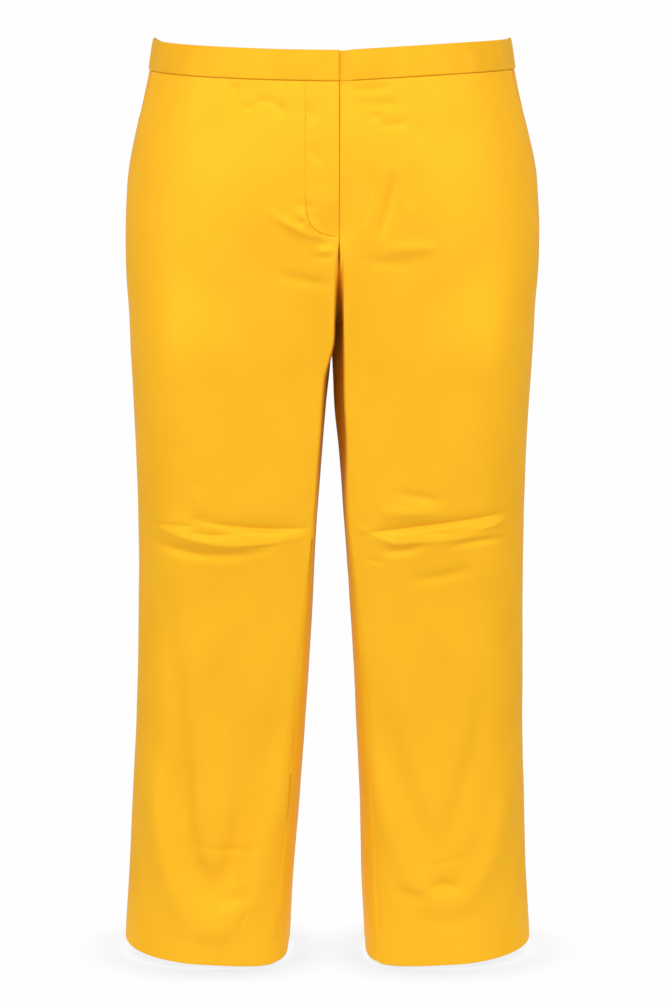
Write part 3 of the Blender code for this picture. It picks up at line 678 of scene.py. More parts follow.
def relief(face, side, u, points, normals):
    """Height of creases, waves and stitched lines over the form at points."""
    x = points[..., 0]
    z = points[..., 2]
    total = np.zeros(x.shape)
    for table, height_of in ((FOLDS, fold_height), (CREASES, crease_height)):
        for line in table:
            if line.face == face and (line.x0 + line.x1 - 2 * CENTRE_X) * side > 0:
                total = total + height_of(line, x, z)
    for swag in SWAGS:
        if swag.face == face and (swag.x - CENTRE_X) * side > 0:
            total = total + swag_height(swag, x, z)
    for dent in DENTS:
        if dent.face == face:
            total = total + dent_height(dent, x, z)
    total = total * ease(np.abs(normals[..., 1]), *RELIEF_FADE)
    total = total + ripples(face, side, u, z)
    if face == "back":
        near_dart = ease(z, DART_TOP_Z - DART_LENGTH, DART_TOP_Z - DART_LENGTH / 2)
        total = total + near_dart * line_groove(np.abs(x) - DART_X, DART_DEPTH, DART_WIDTH)
    return total


def arc_lengths(points):
    """Distance along each row of a grid from its first column."""
    steps = np.linalg.norm(np.diff(points, axis=1), axis=-1)
    return np.concatenate([np.zeros((len(points), 1)), np.cumsum(steps, axis=1)], axis=1)


def rolled(distance, radius):
    """How far an edge turns in at a distance from it: a quarter circle."""
    share = clamp(distance / radius)
    return radius * (1.0 - np.sqrt(np.maximum(1.0 - (1.0 - share) ** 2, 0.0)))


# ---- meshes


def add_object(name, data):
    thing = bpy.data.objects.new(name, data)
    bpy.context.scene.collection.objects.link(thing)
    return thing


def cloth_mesh(name, outer, inner, uv, material):
    """A closed thin wall between two grids of points, with a map in metres for the weave."""
    rows, columns = outer.shape[:2]
    count = rows * columns
    vertices = np.concatenate([outer.reshape(-1, 3), inner.reshape(-1, 3)])
    numbers = np.arange(count).reshape(rows, columns)
    a = numbers[:-1, :-1].ravel()
    b = numbers[:-1, 1:].ravel()
    c = numbers[1:, 1:].ravel()
    d = numbers[1:, :-1].ravel()
    sides = (numbers[0, :], numbers[1:, -1], numbers[-1, -2::-1], numbers[-2:0:-1, 0])
    around = np.concatenate(sides)
    after = np.roll(around, -1)
    front = np.stack([a, b, c, d], axis=1)
    behind = np.stack([d, c, b, a], axis=1) + count
    rim = np.stack([after, around, around + count, after + count], axis=1)
    faces = np.concatenate([front, behind, rim])
    middle = rows // 2 * columns + columns // 2
    normal = np.cross(
        vertices[middle + 1] - vertices[middle], vertices[middle + columns] - vertices[middle]
    )
    if np.dot(normal, vertices[middle] - vertices[middle + count]) < 0:
        faces = faces[:, ::-1]
    mesh = bpy.data.meshes.new(name)
    mesh.from_pydata(vertices.tolist(), [], faces.tolist())
    layer = mesh.uv_layers.new(name="metres")
    both = np.concatenate([uv.reshape(-1, 2), uv.reshape(-1, 2)])
    corners = np.empty(len(mesh.loops), dtype=np.int32)
    mesh.loops.foreach_get("vertex_index", corners)
    layer.data.foreach_set("uv", both[corners].ravel())
    mesh.shade_smooth()
    mesh.materials.append(material)
    return add_object(name, mesh)


def with_edges(steps, start, end):
    """Shares from 0 to 1, with close steps and a doubled end where the cloth turns in."""
    inner = np.linspace(start, end, steps + 1)
    close = np.array(EDGE_STEPS)
    clear = close[-1] * EDGE_CLEAR
    inner = inner[(inner > start + clear) & (inner < end - clear)]
    return np.concatenate([[start, start], start + close, inner, end - close[::-1], [end, end]])


def panel_rows():
    """Rows of a panel, close at the band seam, about the knee and at the hem."""
    hip = np.linspace(0.0, HIP_TO_ROW, HIP_STEPS + 1)
    seat = np.linspace(HIP_TO_ROW, 1.0, SEAT_STEPS + 1)
    thigh = np.linspace(1.0, KNEE_FROM_ROW, THIGH_STEPS + 1)
    knee = np.linspace(KNEE_FROM_ROW, KNEE_TO_ROW, KNEE_STEPS + 1)
    shin = np.linspace(KNEE_TO_ROW, 2.0, SHIN_STEPS + 1)
    rows = np.concatenate([hip, seat[1:], thigh[1:], knee[1:], shin[1:-1]])
    hem = np.array([hem_row() - HEM_EDGE, hem_row() + HEM_EDGE])
    end = 2.0 - np.array(HEM_ROWS) * HEM_EDGE
    rows = rows[(rows > TOP_CLEAR) & (rows < 2.0 - HEM_CLEAR * HEM_EDGE)]
    rows = np.unique(np.concatenate([rows, hem]))
    return np.concatenate([TOP_ROWS, rows, end])


def panel(face, side, material):
    """One of the four large panels, from the band seam to the hem."""
    node = f"{face}_{'right' if side < 0 else 'left'}"
    rows = panel_rows()
    face_shares = with_edges(FACE_STEPS + INNER_STEPS, 0.0, 1.0)
    corner = FACE_STEPS / (FACE_STEPS + INNER_STEPS)
    across = clamp(face_shares / corner)
    crowded = mix(across, 1.0 - (1.0 - across) ** 2, FACE_CROWDING)
    past_corner = CORNER_U + (face_shares - corner) / (1.0 - corner) * (1.0 - CORNER_U)
    spread = np.where(face_shares < corner, crowded * CORNER_U, past_corner)
    row = rows[:, None]
    first = mouth_u(row) if face == "front" else np.zeros_like(row)
    u = mix(first, 1.0, spread[None, :])
    points = grid_points(face, side, u, row)
    normals = grid_normals(face, side, u, row)
    arcs = arc_lengths(points)
    from_last = arcs[:, -1:] - arcs
    from_top = np.abs(points[..., 2] - points[0:1, :, 2])
    below_seam = ease(from_top, -RELIEF_TOP_FADE / 4, RELIEF_TOP_FADE)
    height = relief(face, side, u, points, normals) * below_seam

    mouth_radius = np.where(first > 0.0, MOUTH_ROLL, SEAM_ROLL)
    height = height - rolled(arcs, mouth_radius)
    height = height - rolled(from_last, SEAM_ROLL)
    height = height - rolled(from_top, SEAM_ROLL)
    from_hem = np.abs(points[..., 2] - points[-1:, :, 2])
    height = height - rolled(from_hem, HEM_ROLL)
    height = height + line_groove(from_hem - HEM_STITCH_UP, HEM_STITCH_DEPTH, HEM_STITCH_WIDTH)

    fly_end = float(top_height("front", 1, 1.0)) - BAND_HEIGHT - FLY_LENGTH
    within_fly = 1.0 - ease(-points[..., 2], -fly_end - FLY_DIP_FADE, -fly_end + FLY_DIP_FADE)
    if face == "front" and side > 0:
        height = height - FLY_DIP * within_fly * (1.0 - ease(from_last, 0.0, FLY_DIP_REACH))
    if face == "front" and side < 0:
        off_line = off_fly_line(from_last, points[..., 2])
        curve_middle = (FLY_STITCH_STRAIGHT_Z + FLY_STITCH_END_Z) / 2
        curved = ease(-points[..., 2], -FLY_STITCH_STRAIGHT_Z, -curve_middle)
        groove_depth = mix(FLY_STITCH_STRAIGHT_DEPTH, 1.0, curved) * FLY_STITCH_DEPTH
        height = height + line_groove(off_line, groove_depth, FLY_STITCH_WIDTH)
        inside = 1.0 - ease(off_line, -FLY_STITCH_WIDTH, FLY_STITCH_WIDTH)
        height = height - FLY_STITCH_STEP * curved * inside

    deep = np.zeros_like(height)
    deep[:, 0] = np.where(first[:, 0] > 0.0, FLY_ALLOWANCE, ALLOWANCE)
    deep[:, -1] = ALLOWANCE
    if face == "front":
        deep[:, -1] = mix(ALLOWANCE, FLY_ALLOWANCE, within_fly[:, -1])
    deep[0, :] = ALLOWANCE
    outer = points + normals * (height - deep)[..., None]

    in_hem = ease(row, hem_row() - HEM_WALL_TURN, hem_row() + HEM_WALL_TURN)
    wall = np.broadcast_to(mix(CLOTH, HEM_CLOTH, in_hem), height.shape)
    inset = CLOTH / PANEL_SPAN
    inner_u = clamp(u, first + inset, 1.0 - inset)
    inner_row = clamp(row, INNER_TOP_ROW, 2.0)
    inner_points = grid_points(face, side, inner_u, inner_row)
    hem_turn = np.minimum(2.0 * rolled(from_hem, HEM_ROLL), wall * HEM_TURN_LIMIT)
    inner = inner_points + normals * (height - deep - wall + hem_turn)[..., None]
    outer[0, :, 2] += SEAM_LIP
    inner[0, :, 2] += SEAM_LIP
    uv = np.stack([u * PANEL_SPAN, points[..., 2]], axis=-1)
    piece = cloth_mesh(node + "_cloth", outer, inner, uv, material)
    finish_cloth(piece, node, outer)


def finish_cloth(piece, node, outer):
    """Tie a cloth piece to the root body and hide its solid; the size it was cut to is measured but not
    kept.
    """
    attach(piece, "root")
    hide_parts(node)
    longest = float(arc_lengths(outer.swapaxes(0, 1))[:, -1].max())


def strip(name, side, us, rows, depth, wall, material):
    """A thin piece that follows the front form below it, over given columns and rows."""
    row = rows[:, None]
    points = grid_points("front", side, us, row)
    normals = grid_normals("front", side, us, row)
    outer = points - normals * depth[..., None]
    inner = outer - normals * wall
    arcs = arc_lengths(points)
    uv = np.stack([arcs, points[..., 2]], axis=-1)
    return cloth_mesh(name, outer, inner, uv, material), outer


def pocket_facing(side, material):
    """The hip piece that shows inside a pocket mouth."""
    node = f"pocket_facing_{'right' if side < 0 else 'left'}"
    rows = np.linspace(0.0, MOUTH_END_ROW, STRIP_ROWS + 1)
    first = mouth_u(rows)[:, None]
    last = first + FACING_SPAN * (1.0 - first)
    us = np.array(FACING_SHARES)[None, :] * last
    row = rows[:, None]
    points = grid_points("front", side, us, row)
    arcs = arc_lengths(points)
    mouth = ease(us, 0.0, np.maximum(first * FACING_RISE, FACING_LEAST_RISE))
    depth = mix(FACING_EDGE_DEPTH, FACING_DEPTH, mouth) + rolled(arcs, SEAM_ROLL)
    depth[:, 0] += ALLOWANCE
    depth[0, :] += FACING_TOP_ALLOWANCE
    piece, outer = strip(node + "_cloth", side, us, rows, depth, CLOTH, material)
    finish_cloth(piece, node, outer)


def u_beside_centre(side, distance, z):
    """The u of the front form at distances from its centre line, found by halving."""
    distance, z = np.broadcast_arrays(np.asarray(distance, float), np.asarray(z, float))
    low = np.full(distance.shape, 0.5)
    high = np.full(distance.shape, 1.0)
    centre = form("front", side, 1.0, z)[..., 0]
    for _ in range(HALVINGS):
        u = (low + high) / 2
        far = np.abs(form("front", side, u, z)[..., 0] - centre) > distance
        low = np.where(far, u, low)
        high = np.where(far, high, u)
    return (low + high) / 2


def fly_strip(node, width, depth, wall, material):
    """A strip behind the right front's fly edge, as long as the fly."""
    rows = np.linspace(FLY_TOP_ROW, FLY_END_ROW, STRIP_ROWS + 1)
    z = row_height("front", -1, 1.0, rows)[:, None]
    away = np.linspace(width, FLY_STRIP_CLEAR, FLY_STRIP_COLUMNS)[None, :]
    us = u_beside_centre(-1, away, z)
    points = grid_points("front", -1, us, rows[:, None])
    normals = grid_normals("front", -1, us, rows[:, None])
    depths = depth + np.maximum(-relief("front", -1, us, points, normals), 0.0)
    return strip(node + "_cloth", -1, us, rows, depths, wall, material)


def band_waves(along):
    """Small uneven waves across a waistband, at distances from its end."""
    total = np.zeros(len(along))
    for wave in BAND_WAVES:
        total = total + wave.height * np.sin(2 * math.pi * (along / wave.length + wave.start))
    return total


def band(node, face, side_ends, material):
    """A waistband piece. side_ends gives arrays of side, u and sunk from its left to its right end."""
    columns = []
    for side, u, sunk in side_ends:

        def column(u, raised=0.0):
            z = top_height(face, side, u) - BAND_DROPS * BAND_HEIGHT
            return form(face, side, u, z + raised)

        low = column(max(u - BAND_NORMAL_STEP, 0.0))
        high = column(min(u + BAND_NORMAL_STEP, 1.0))
        down = column(u, -BAND_NORMAL_DROP) - column(u, BAND_NORMAL_DROP)
        normals = unit(np.cross(high - low, down) * facing_out(face, side))
        columns.append((column(u), normals, np.full(len(BAND_DROPS), sunk)))
    points, normals, sunk = (np.stack(part, axis=1) for part in zip(*columns))
    arcs = arc_lengths(points)
    from_edge = np.minimum(BAND_DROPS, 1.0 - BAND_DROPS)[:, None] * BAND_HEIGHT
    from_end = np.minimum(arcs, arcs[:, -1:] - arcs)
    roll = np.maximum(rolled(from_edge, BAND_ROLL), rolled(from_end, BAND_ROLL))
    bulge = np.sin(math.pi * BAND_DROPS)[:, None]
    padded = BAND_PADDING * bulge**BAND_PADDING_POWER
    lift = BAND_PROUD + padded + band_waves(arcs[0])[None, :] * bulge - sunk
    thickness = BAND_WALL - BAND_PADDING
    turned = np.minimum(roll, thickness * BAND_ROLL_LIMIT)
    outer = points + normals * (lift - turned)[..., None]
    inner = points + normals * (lift - padded - thickness + turned)[..., None]
    uv = np.stack([arcs, points[..., 2]], axis=-1)
    piece = cloth_mesh(node + "_cloth", outer, inner, uv, material)
    finish_cloth(piece, node, outer)


def band_us(count):
    """u of a band's columns from the side seam to the middle, close at the ends."""
    even = np.linspace(0.0, 1.0, count + 1)
    even = even[(even > BAND_EVEN[0]) & (even < BAND_EVEN[1])]
    shares = np.concatenate([BAND_CLOSE, even, 1.0 - BAND_CLOSE[::-1]])
    return mix(BAND_END_INSET, 1.0, shares)


def waistband(material):
    """The three pieces of the waistband; the left front one dips under the right front one."""
    us = band_us(BAND_STEPS)
    band("waistband_front_right", "front", [(-1, u, 0.0) for u in us], material)
    under = BAND_WALL + SEAM_GAP
    z = float(top_height("front", 1, 1.0))
    centre = float(form("front", 1, 1.0, z)[0])
    dip_from = 1.5 * BAND_DIP_REACH
    dip_to = 0.25 * BAND_DIP_REACH
    clear = dip_from + BAND_DIP_CLEAR
    ends = [(1, u, 0.0) for u in us if float(form("front", 1, u, 0.0)[0]) - centre > clear]
    for k in range(BAND_UNDER_STEPS * 2 + 1):
        away = mix(dip_from, dip_to, k / (BAND_UNDER_STEPS * 2))
        sunk = under * (1.0 - float(ease(away, dip_to, BAND_DIP_REACH + dip_to)))
        ends.append((1, float(u_beside_centre(1, away, z)), sunk))
    for k in range(BAND_UNDER_STEPS + 1):
        away = BAND_UNDERLAP * k / BAND_UNDER_STEPS
        ends.append((-1, float(u_beside_centre(-1, away, z)), under))
    band("waistband_front_left", "front", ends, material)
    ends = [(1, u, 0.0) for u in us] + [(-1, u, 0.0) for u in us[::-1]]
    band("waistband_back", "back", ends, material)


# ---- stitches


def thread_mesh(name, starts, ends, normals, material, radius=STITCH_RADIUS):
    """Small rounded stitches from starts to ends, each lying on the cloth."""
    vertices = []
    faces = []
    for start, end, normal in zip(starts, ends, normals):
        along = end - start
        length = np.linalg.norm(along)
        if length < 1e-6:
            continue
        along = along / length
        across = np.cross(along, normal)
        across = across / np.linalg.norm(across)
        up = np.cross(across, along)
        base = len(vertices)
        for share, size in THREAD_RINGS:
            bow = radius * (math.sin(math.pi * share) - THREAD_SET)
            bowed = start + along * length * share + up * bow
            for k in range(STITCH_SIDES):
                angle = 2 * math.pi * k / STITCH_SIDES
                spoke = across * math.cos(angle) + up * math.sin(angle)
                vertices.append((bowed + spoke * radius * size).tolist())
        for j in range(len(THREAD_RINGS) - 1):
            for k in range(STITCH_SIDES):
                k1 = (k + 1) % STITCH_SIDES
                row = base + j * STITCH_SIDES
                above = row + STITCH_SIDES
                faces.append((row + k, row + k1, above + k1, above + k))
        last = base + (len(THREAD_RINGS) - 1) * STITCH_SIDES
        faces.append(tuple(base + k for k in range(STITCH_SIDES))[::-1])
        faces.append(tuple(last + k for k in range(STITCH_SIDES)))
    mesh = bpy.data.meshes.new(name)
    mesh.from_pydata(vertices, [], faces)
    mesh.shade_smooth()
    mesh.materials.append(material)
    piece = add_object(name, mesh)
    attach(piece, "root")


def along_path(path, normals, step, length):
    """Starts, ends and normals of stitches along a path of points."""
    gaps = np.linalg.norm(np.diff(path, axis=0), axis=1)
    at = np.concatenate([[0.0], np.cumsum(gaps)])
    count = int(at[-1] // step)
    begin = (np.arange(count) + 0.5) * at[-1] / count - length / 2

    def read(where, values):
        return np.stack([np.interp(where, at, values[:, k]) for k in range(3)], axis=1)

    return read(begin, path), read(begin + length, path), read(begin + length / 2, normals)


def join_stitches(rows):
    """Starts, ends and normals of several rows of stitches as one."""
    return [np.concatenate(part) for part in zip(*rows)]


def surface_at(face, side, u, row, lift=0.0):
    """Points on a panel's cloth, its relief included."""
    points = grid_points(face, side, u, row)
    normals = grid_normals(face, side, u, row)
    height = relief(face, side, np.asarray(u, float), points, normals) + lift
    return points + normals * height[..., None], normals


def row_at_height(face, side, u, z):
    """The row whose height is z at u, found by halving."""
    low = np.zeros(np.shape(z))
    high = np.full(np.shape(z), 2.0)
    for _ in range(HALVINGS):
        row = (low + high) / 2
        above = row_height(face, side, u, row) > z
        low = np.where(above, row, low)
        high = np.where(above, high, row)
    return (low + high) / 2


def fly_stitching(material):
    """The J-shaped line beside the fly, down from the band and round to the fly's end."""
    top = float(top_height("front", -1, FLY_STITCH_TOP_U)) - BAND_HEIGHT - FLY_STITCH_TOP_CLEAR
    drop = FLY_STITCH_STRAIGHT_Z - FLY_STITCH_END_Z
    straight = np.linspace(top, FLY_STITCH_STRAIGHT_Z, FLY_STITCH_STRAIGHT_POINTS)
    turns = np.linspace(0.0, FLY_STITCH_TURN, FLY_STITCH_TURN_POINTS)[1:]
    c, s = rounded(turns, FLY_STITCH_SQUARENESS)
    z = np.concatenate([straight, FLY_STITCH_STRAIGHT_Z - drop * s])
    away = FLY_STITCH_AWAY * np.concatenate([np.ones(len(straight)), c])
    u = u_beside_centre(-1, away, z)
    row = row_at_height("front", -1, u, z)
    path, normals = surface_at("front", -1, u, row)
    starts, ends, ups = along_path(path, normals, STITCH_STEP, TOP_STITCH_LENGTH)
    sunk = ease(starts[:, 2], FLY_STITCH_STRAIGHT_Z - drop / 2, FLY_STITCH_STRAIGHT_Z)[:, None]
    starts = starts - ups * sunk * STITCH_SUNK
    ends = ends - ups * sunk * STITCH_SUNK
    thread_mesh("fly_stitching", starts, ends, ups, material, TOP_STITCH_RADIUS)


def hem_stitching(material):
    """A line of small stitches round each hem."""
    rows = []
    for face in ("front", "back"):
        for side in (-1, 1):
            u = np.linspace(*HEM_STITCH_US, HEM_STITCH_POINTS)
            z = row_height(face, side, u, 2.0) + HEM_STITCH_UP
            row = row_at_height(face, side, u, z)
            path, normals = surface_at(face, side, u, row, -HEM_STITCH_DEPTH)
            rows.append(along_path(path, normals, HEM_STITCH_SPACING, HEM_STITCH_LENGTH))
    thread_mesh("hem_stitching", *join_stitches(rows), material)


def mouth_stitching(material):
    """A close line of stitches along each pocket mouth, just inside its edge."""
    rows = []
    for side in (-1, 1):
        row = np.linspace(*MOUTH_STITCH_ROWS, MOUTH_STITCH_POINTS)
        path, normals = surface_at("front", side, mouth_u(row) + MOUTH_STITCH_INSET, row)
        rows.append(along_path(path, normals, STITCH_STEP, TOP_STITCH_LENGTH))
    thread_mesh("mouth_stitching", *join_stitches(rows), material, TOP_STITCH_RADIUS)


def bar_tacks(material):
    """Close bars of thread across both ends of each pocket mouth."""
    starts, ends, ups = [], [], []
    for side in (-1, 1):
        for row in TACK_ROWS:
            u = float(mouth_u(row)) + TACK_INSET
            us = np.array([u, u + TACK_HEADING_U])
            points, normals = surface_at("front", side, us, np.full(2, row), TACK_LIFT)
            centre, normal = points[0], normals[0]
            along = points[1] - centre
            along = along / np.linalg.norm(along)
            across = np.cross(normal, along)
            for k in range(TACK_STITCHES):
                middle = centre + along * TACK_LENGTH * (k / (TACK_STITCHES - 1) - 0.5)
                lean = along * TACK_LENGTH / TACK_STITCHES * TACK_LEAN
                starts.append(middle - across * TACK_WIDTH / 2 - lean)
                ends.append(middle + across * TACK_WIDTH / 2 + lean)
                ups.append(normal)
    thread_mesh("bar_tacks", starts, ends, ups, material)


# ---- materials


def set_inputs(node, **values):
    """Set a node's inputs by name, with _ for each space."""
    for name, value in values.items():
        node.inputs[name.replace("_", " ")].default_value = value


def new_material(name):
    material = bpy.data.materials.new(name)
    material.use_nodes = True
    return material, material.node_tree.nodes, material.node_tree.links


def add_noise(nodes, links, coordinates, scale, stretch, detail=2.0):
    mapping = nodes.new("ShaderNodeMapping")
    mapping.inputs["Scale"].default_value = (stretch[0], stretch[1], 1.0)
    links.new(coordinates, mapping.inputs["Vector"])
    noise = nodes.new("ShaderNodeTexNoise")
    set_inputs(noise, Scale=scale, Detail=detail)
    links.new(mapping.outputs["Vector"], noise.inputs["Vector"])
    return noise.outputs["Fac"]


def add_bump(nodes, links, value, strength, distance, under=None):
    """A bump of the height that value gives, laid over the bump under it."""
    bump = nodes.new("ShaderNodeBump")
    set_inputs(bump, Strength=strength, Distance=distance)
    links.new(value, bump.inputs["Height"])
    if under is not None:
        links.new(under, bump.inputs["Normal"])
    return bump.outputs["Normal"]


def add_cloth_map(nodes):
    """The cloth's own map, in metres."""
    metres = nodes.new("ShaderNodeUVMap")
    metres.uv_map = "metres"
    return metres.outputs["UV"]


def ramp_between(nodes, links, value, low, high, low_colour, high_colour):
    ramp = nodes.new("ShaderNodeValToRGB")
    stops = ((low, low_colour), (high, high_colour))
    for element, (position, colour) in zip(ramp.color_ramp.elements, stops):
        element.position = position
        element.color = colour
    links.new(value, ramp.inputs["Fac"])
    return ramp.outputs["Color"]


def range_between(nodes, links, value, start, end, low, high):
    span = nodes.new("ShaderNodeMapRange")
    set_inputs(span, From_Min=start, From_Max=end, To_Min=low, To_Max=high)
    links.new(value, span.inputs["Value"])
    return span.outputs["Result"]


SATIN_DEEP = (0.850, 0.430, 0.0182)
SATIN_LIGHT = (0.880, 0.450, 0.0202)

# Painted shade: the waistband gets a copy of the satin whose colour is darkened by this share, for the
# darker shade the band takes
BAND_PAINTED_SHADE = 0.90

# The floats of satin glance in the colour of the cloth, also where the cloth turns away
SATIN_SHEEN = 0.12
SHEEN_EDGE = (1.0, 0.55, 0.10, 1.0)
FUZZ = 0.16
FUZZ_ROUGHNESS = 0.40
FUZZ_TINT = (1.0, 0.72, 0.10, 1.0)
SATIN_IOR = 1.10
SATIN_ROUGHNESS = (0.40, 0.46)

# Patterns of the satin on its map: scale, stretch across and down, and detail
Pattern = namedtuple("Pattern", "scale stretch detail")
PATCHES = Pattern(22.0, (1.0, 0.6), 3.0)
GLOSS = Pattern(60.0, (1.0, 0.25), 2.0)
FLOATS = Pattern(1.0, (2600.0, 320.0), 2.0)
SLUBS = Pattern(1.0, (240.0, 26.0), 3.0)
TAPE_THREADS = Pattern(1.0, (1500.0, 1500.0), 1.0)
PLY = Pattern(4000.0, (1.0, 1.0), 1.0)

# Where a pattern's range starts and ends, and bumps: strength and height
PATCH_RANGE = (0.35, 0.65)
NOISE_RANGE = (0.3, 0.7)
FLOAT_BUMP = (0.25, 0.00005)
SLUB_BUMP = (0.35, 0.00025)
TAPE_BUMP = (0.5, 0.0001)
TAPE_ROUGHNESS = 0.7
THREAD_ROUGHNESS = 0.55
THREAD_IOR = 1.35
TAPE_DEEP = (0.70, 0.30, 0.012, 1.0)
TAPE_LIGHT = (0.85, 0.40, 0.02, 1.0)
# Painted shade in part: the thread is darker than the cloth so that stitched lines read as shaded lines
THREAD_DEEP = (0.62, 0.24, 0.004, 1.0)
THREAD_LIGHT = (0.74, 0.30, 0.006, 1.0)


def satin_material(name, shade):
    """Closely woven satin: fine long floats, a soft sheen and hardly any change of colour; shade
    darkens its colour, which paints shade into a copy.
    """
    material, nodes, links = new_material(name)
    deep = (*(shade * c for c in SATIN_DEEP), 1.0)
    light = (*(shade * c for c in SATIN_LIGHT), 1.0)
    shader = nodes["Principled BSDF"]
    set_inputs(shader, IOR=SATIN_IOR, Metallic=SATIN_SHEEN, Specular_Tint=SHEEN_EDGE)
    set_inputs(shader, Sheen_Weight=FUZZ, Sheen_Roughness=FUZZ_ROUGHNESS, Sheen_Tint=FUZZ_TINT)
    place = add_cloth_map(nodes)
    patches = add_noise(nodes, links, place, *PATCHES)
    colour = ramp_between(nodes, links, patches, *PATCH_RANGE, deep, light)
    links.new(colour, shader.inputs["Base Color"])
    gloss = add_noise(nodes, links, place, *GLOSS)
    roughness = range_between(nodes, links, gloss, *NOISE_RANGE, *SATIN_ROUGHNESS)
    links.new(roughness, shader.inputs["Roughness"])
    floats = add_noise(nodes, links, place, *FLOATS)
    slubs = add_noise(nodes, links, place, *SLUBS)
    fine = add_bump(nodes, links, floats, *FLOAT_BUMP)
    links.new(add_bump(nodes, links, slubs, *SLUB_BUMP, fine), shader.inputs["Normal"])
    return material


def tape_material():
    """Plain woven tape of the zip."""
    material, nodes, links = new_material("zip_tape")
    shader = nodes["Principled BSDF"]
    set_inputs(shader, Roughness=TAPE_ROUGHNESS)
    threads = add_noise(nodes, links, add_cloth_map(nodes), *TAPE_THREADS)
    colour = ramp_between(nodes, links, threads, *NOISE_RANGE, TAPE_DEEP, TAPE_LIGHT)
    links.new(colour, shader.inputs["Base Color"])
    links.new(add_bump(nodes, links, threads, *TAPE_BUMP), shader.inputs["Normal"])
    return material


def thread_material():
    """Sewing thread, darker than the cloth: partly its own colour, partly painted shade for the
    stitched lines.
    """
    material, nodes, links = new_material("thread")
    shader = nodes["Principled BSDF"]
    set_inputs(shader, Roughness=THREAD_ROUGHNESS, IOR=THREAD_IOR)
    place = nodes.new("ShaderNodeTexCoord")
    ply = add_noise(nodes, links, place.outputs["Object"], *PLY)
    colour = ramp_between(nodes, links, ply, *NOISE_RANGE, THREAD_DEEP, THREAD_LIGHT)
    links.new(colour, shader.inputs["Base Color"])
    return material


# ---- floor, light and camera

AIM = Vector((0.005, 0.0, -0.5065))
CAMERA_DISTANCE = 2.6
CAMERA_TILT = math.radians(5.0)
METRES_PER_PIXEL = 0.0011
FRAME_HEIGHT = 1008
SENSOR = 36.0
FLOOR_Z = -1.0030
FLOOR_RADIUS = 0.50
FLOOR_FADE_FROM = 0.30
PAPER_WHITE = 0.991
# Painted shadow: the floor's own glow darkens by ambient occlusion within this reach of the cloth, down
# to this share of white
SHADOW_REACH = 0.062
SHADOW_WHITE = 0.66
SHADOW_SAMPLES = 8
FLOOR_RINGS = 24
FLOOR_SPOKES = 96
WHITE = (1.0, 1.0, 1.0, 1.0)
AMBIENT = 0.65
LAMP_SIZE = 1.5
LAMP_DISTANCE = 2.6

# Large soft lamps round the camera: degrees to the right of it and above it, and watts
Lamp = namedtuple("Lamp", "name right up power")
LAMPS = (
    Lamp("left_high", -20.0, 40.0, 16.0),
    Lamp("right_high", 20.0, 40.0, 12.5),
    Lamp("left_front", -50.0, 15.0, 15.0),
    Lamp("right_front", 50.0, 15.0, 14.0),
)


def make_floor():
    """A white floor that glows by itself, with a painted shadow that darkens it only close under the
    hems; it runs out into the background.
    """
    centre = (AIM.x, AIM.y, FLOOR_Z)
    vertices = [centre]
    faces = []
    for j in range(FLOOR_RINGS):
        radius = FLOOR_RADIUS * (j + 1) / FLOOR_RINGS
        near = 1 + (j - 1) * FLOOR_SPOKES
        far = 1 + j * FLOOR_SPOKES
        for k in range(FLOOR_SPOKES):
            angle = 2 * math.pi * k / FLOOR_SPOKES
            k1 = (k + 1) % FLOOR_SPOKES
            x = AIM.x + radius * math.cos(angle)
            y = AIM.y + radius * math.sin(angle)
            vertices.append((x, y, FLOOR_Z))
            if j == 0:
                faces.append((0, far + k, far + k1))
            else:
                faces.append((near + k, far + k, far + k1, near + k1))
    mesh = bpy.data.meshes.new("floor")
    mesh.from_pydata(vertices, [], faces)
    material, nodes, links = new_material("floor")
    nodes.remove(nodes["Principled BSDF"])
    # painted shadow: ambient occlusion darkens the floor's glow near the hems
    painted_shadow_occlusion = nodes.new("ShaderNodeAmbientOcclusion")
    set_inputs(painted_shadow_occlusion, Distance=SHADOW_REACH)
    painted_shadow_occlusion.samples = SHADOW_SAMPLES
    darkest = SHADOW_WHITE * PAPER_WHITE
    shade = range_between(nodes, links, painted_shadow_occlusion.outputs["AO"], 0.0, 1.0, darkest, PAPER_WHITE)
    glow = nodes.new("ShaderNodeEmission")
    links.new(shade, glow.inputs["Color"])
    clear = nodes.new("ShaderNodeBsdfTransparent")
    place = nodes.new("ShaderNodeTexCoord")
    distance = nodes.new("ShaderNodeVectorMath")
    distance.operation = "DISTANCE"
    distance.inputs[1].default_value = centre
    links.new(place.outputs["Object"], distance.inputs[0])
    away = distance.outputs["Value"]
    fade = range_between(nodes, links, away, FLOOR_FADE_FROM, FLOOR_RADIUS, 0.0, 1.0)
    blend = nodes.new("ShaderNodeMixShader")
    links.new(fade, blend.inputs["Fac"])
    links.new(glow.outputs["Emission"], blend.inputs[1])
    links.new(clear.outputs["BSDF"], blend.inputs[2])
    links.new(blend.outputs["Shader"], nodes["Material Output"].inputs["Surface"])
    mesh.materials.append(material)
    floor = add_object("floor", mesh)


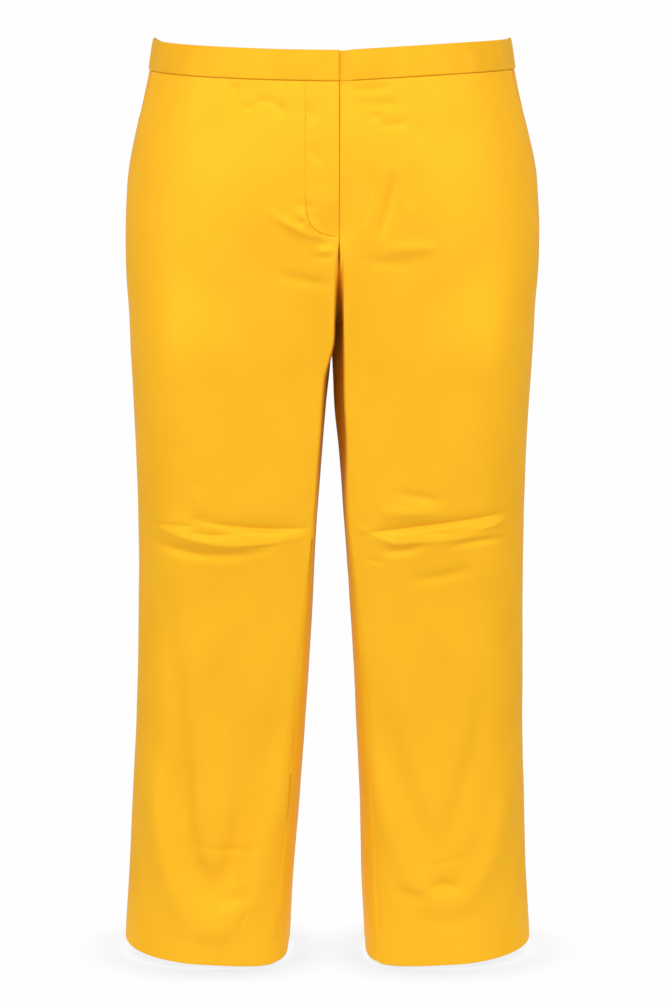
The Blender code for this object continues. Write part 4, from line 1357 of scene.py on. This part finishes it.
def make_world():
    """Even white light from all round; what the camera sees is the white of the paper."""
    world = bpy.data.worlds.new("studio")
    bpy.context.scene.world = world
    world.use_nodes = True
    nodes = world.node_tree.nodes
    links = world.node_tree.links
    light = nodes["Background"]
    set_inputs(light, Color=WHITE, Strength=AMBIENT)
    paper = nodes.new("ShaderNodeBackground")
    set_inputs(paper, Color=WHITE, Strength=PAPER_WHITE)
    path = nodes.new("ShaderNodeLightPath")
    choose = nodes.new("ShaderNodeMixShader")
    links.new(path.outputs["Is Camera Ray"], choose.inputs["Fac"])
    links.new(light.outputs["Background"], choose.inputs[1])
    links.new(paper.outputs["Background"], choose.inputs[2])
    links.new(choose.outputs["Shader"], nodes["World Output"].inputs["Surface"])


def make_lights():
    for row in LAMPS:
        lamp = bpy.data.lights.new(row.name, "AREA")
        lamp.shape = "DISK"
        lamp.size = LAMP_SIZE
        lamp.energy = row.power
        light = add_object(row.name, lamp)
        turn = math.radians(row.right)
        rise = math.radians(row.up)
        level = math.cos(rise)
        away = Vector((math.sin(turn) * level, -math.cos(turn) * level, math.sin(rise)))
        light.location = AIM + away * LAMP_DISTANCE
        light.rotation_euler = (-away).to_track_quat("-Z", "Y").to_euler()


def make_camera():
    data = bpy.data.cameras.new("camera")
    data.sensor_fit = "AUTO"
    data.sensor_width = SENSOR
    data.lens = SENSOR * CAMERA_DISTANCE / (FRAME_HEIGHT * METRES_PER_PIXEL)
    camera = add_object("camera", data)
    back = Vector((0.0, -math.cos(CAMERA_TILT), math.sin(CAMERA_TILT)))
    camera.location = AIM + back * CAMERA_DISTANCE
    camera.rotation_euler = (-back).to_track_quat("-Z", "Y").to_euler()
    bpy.context.scene.camera = camera


def main():
    satin = satin_material("satin", 1.0)
    # painted shade: the waistband's satin is a darkened copy of the satin
    across = satin_material("satin_band_painted_shade", BAND_PAINTED_SHADE)
    tape = tape_material()
    thread = thread_material()
    for face in ("front", "back"):
        for side in (-1, 1):
            panel(face, side, satin)
    for side in (-1, 1):
        pocket_facing(side, satin)
    waistband(across)
    zip_piece, _ = fly_strip("zip", ZIP_WIDTH, ZIP_DEPTH, ZIP_WALL, tape)
    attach(zip_piece, "root")
    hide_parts("zip")
    lap = (UNDERLAP_WIDTH, UNDERLAP_DEPTH, UNDERLAP_WALL)
    lap_piece, lap_outer = fly_strip("fly_underlap", *lap, satin)
    finish_cloth(lap_piece, "fly_underlap", lap_outer)
    fly_stitching(thread)
    hem_stitching(thread)
    mouth_stitching(thread)
    bar_tacks(thread)
    make_floor()
    make_world()
    make_lights()
    make_camera()
    bpy.context.scene.view_settings.view_transform = "Standard"


main()
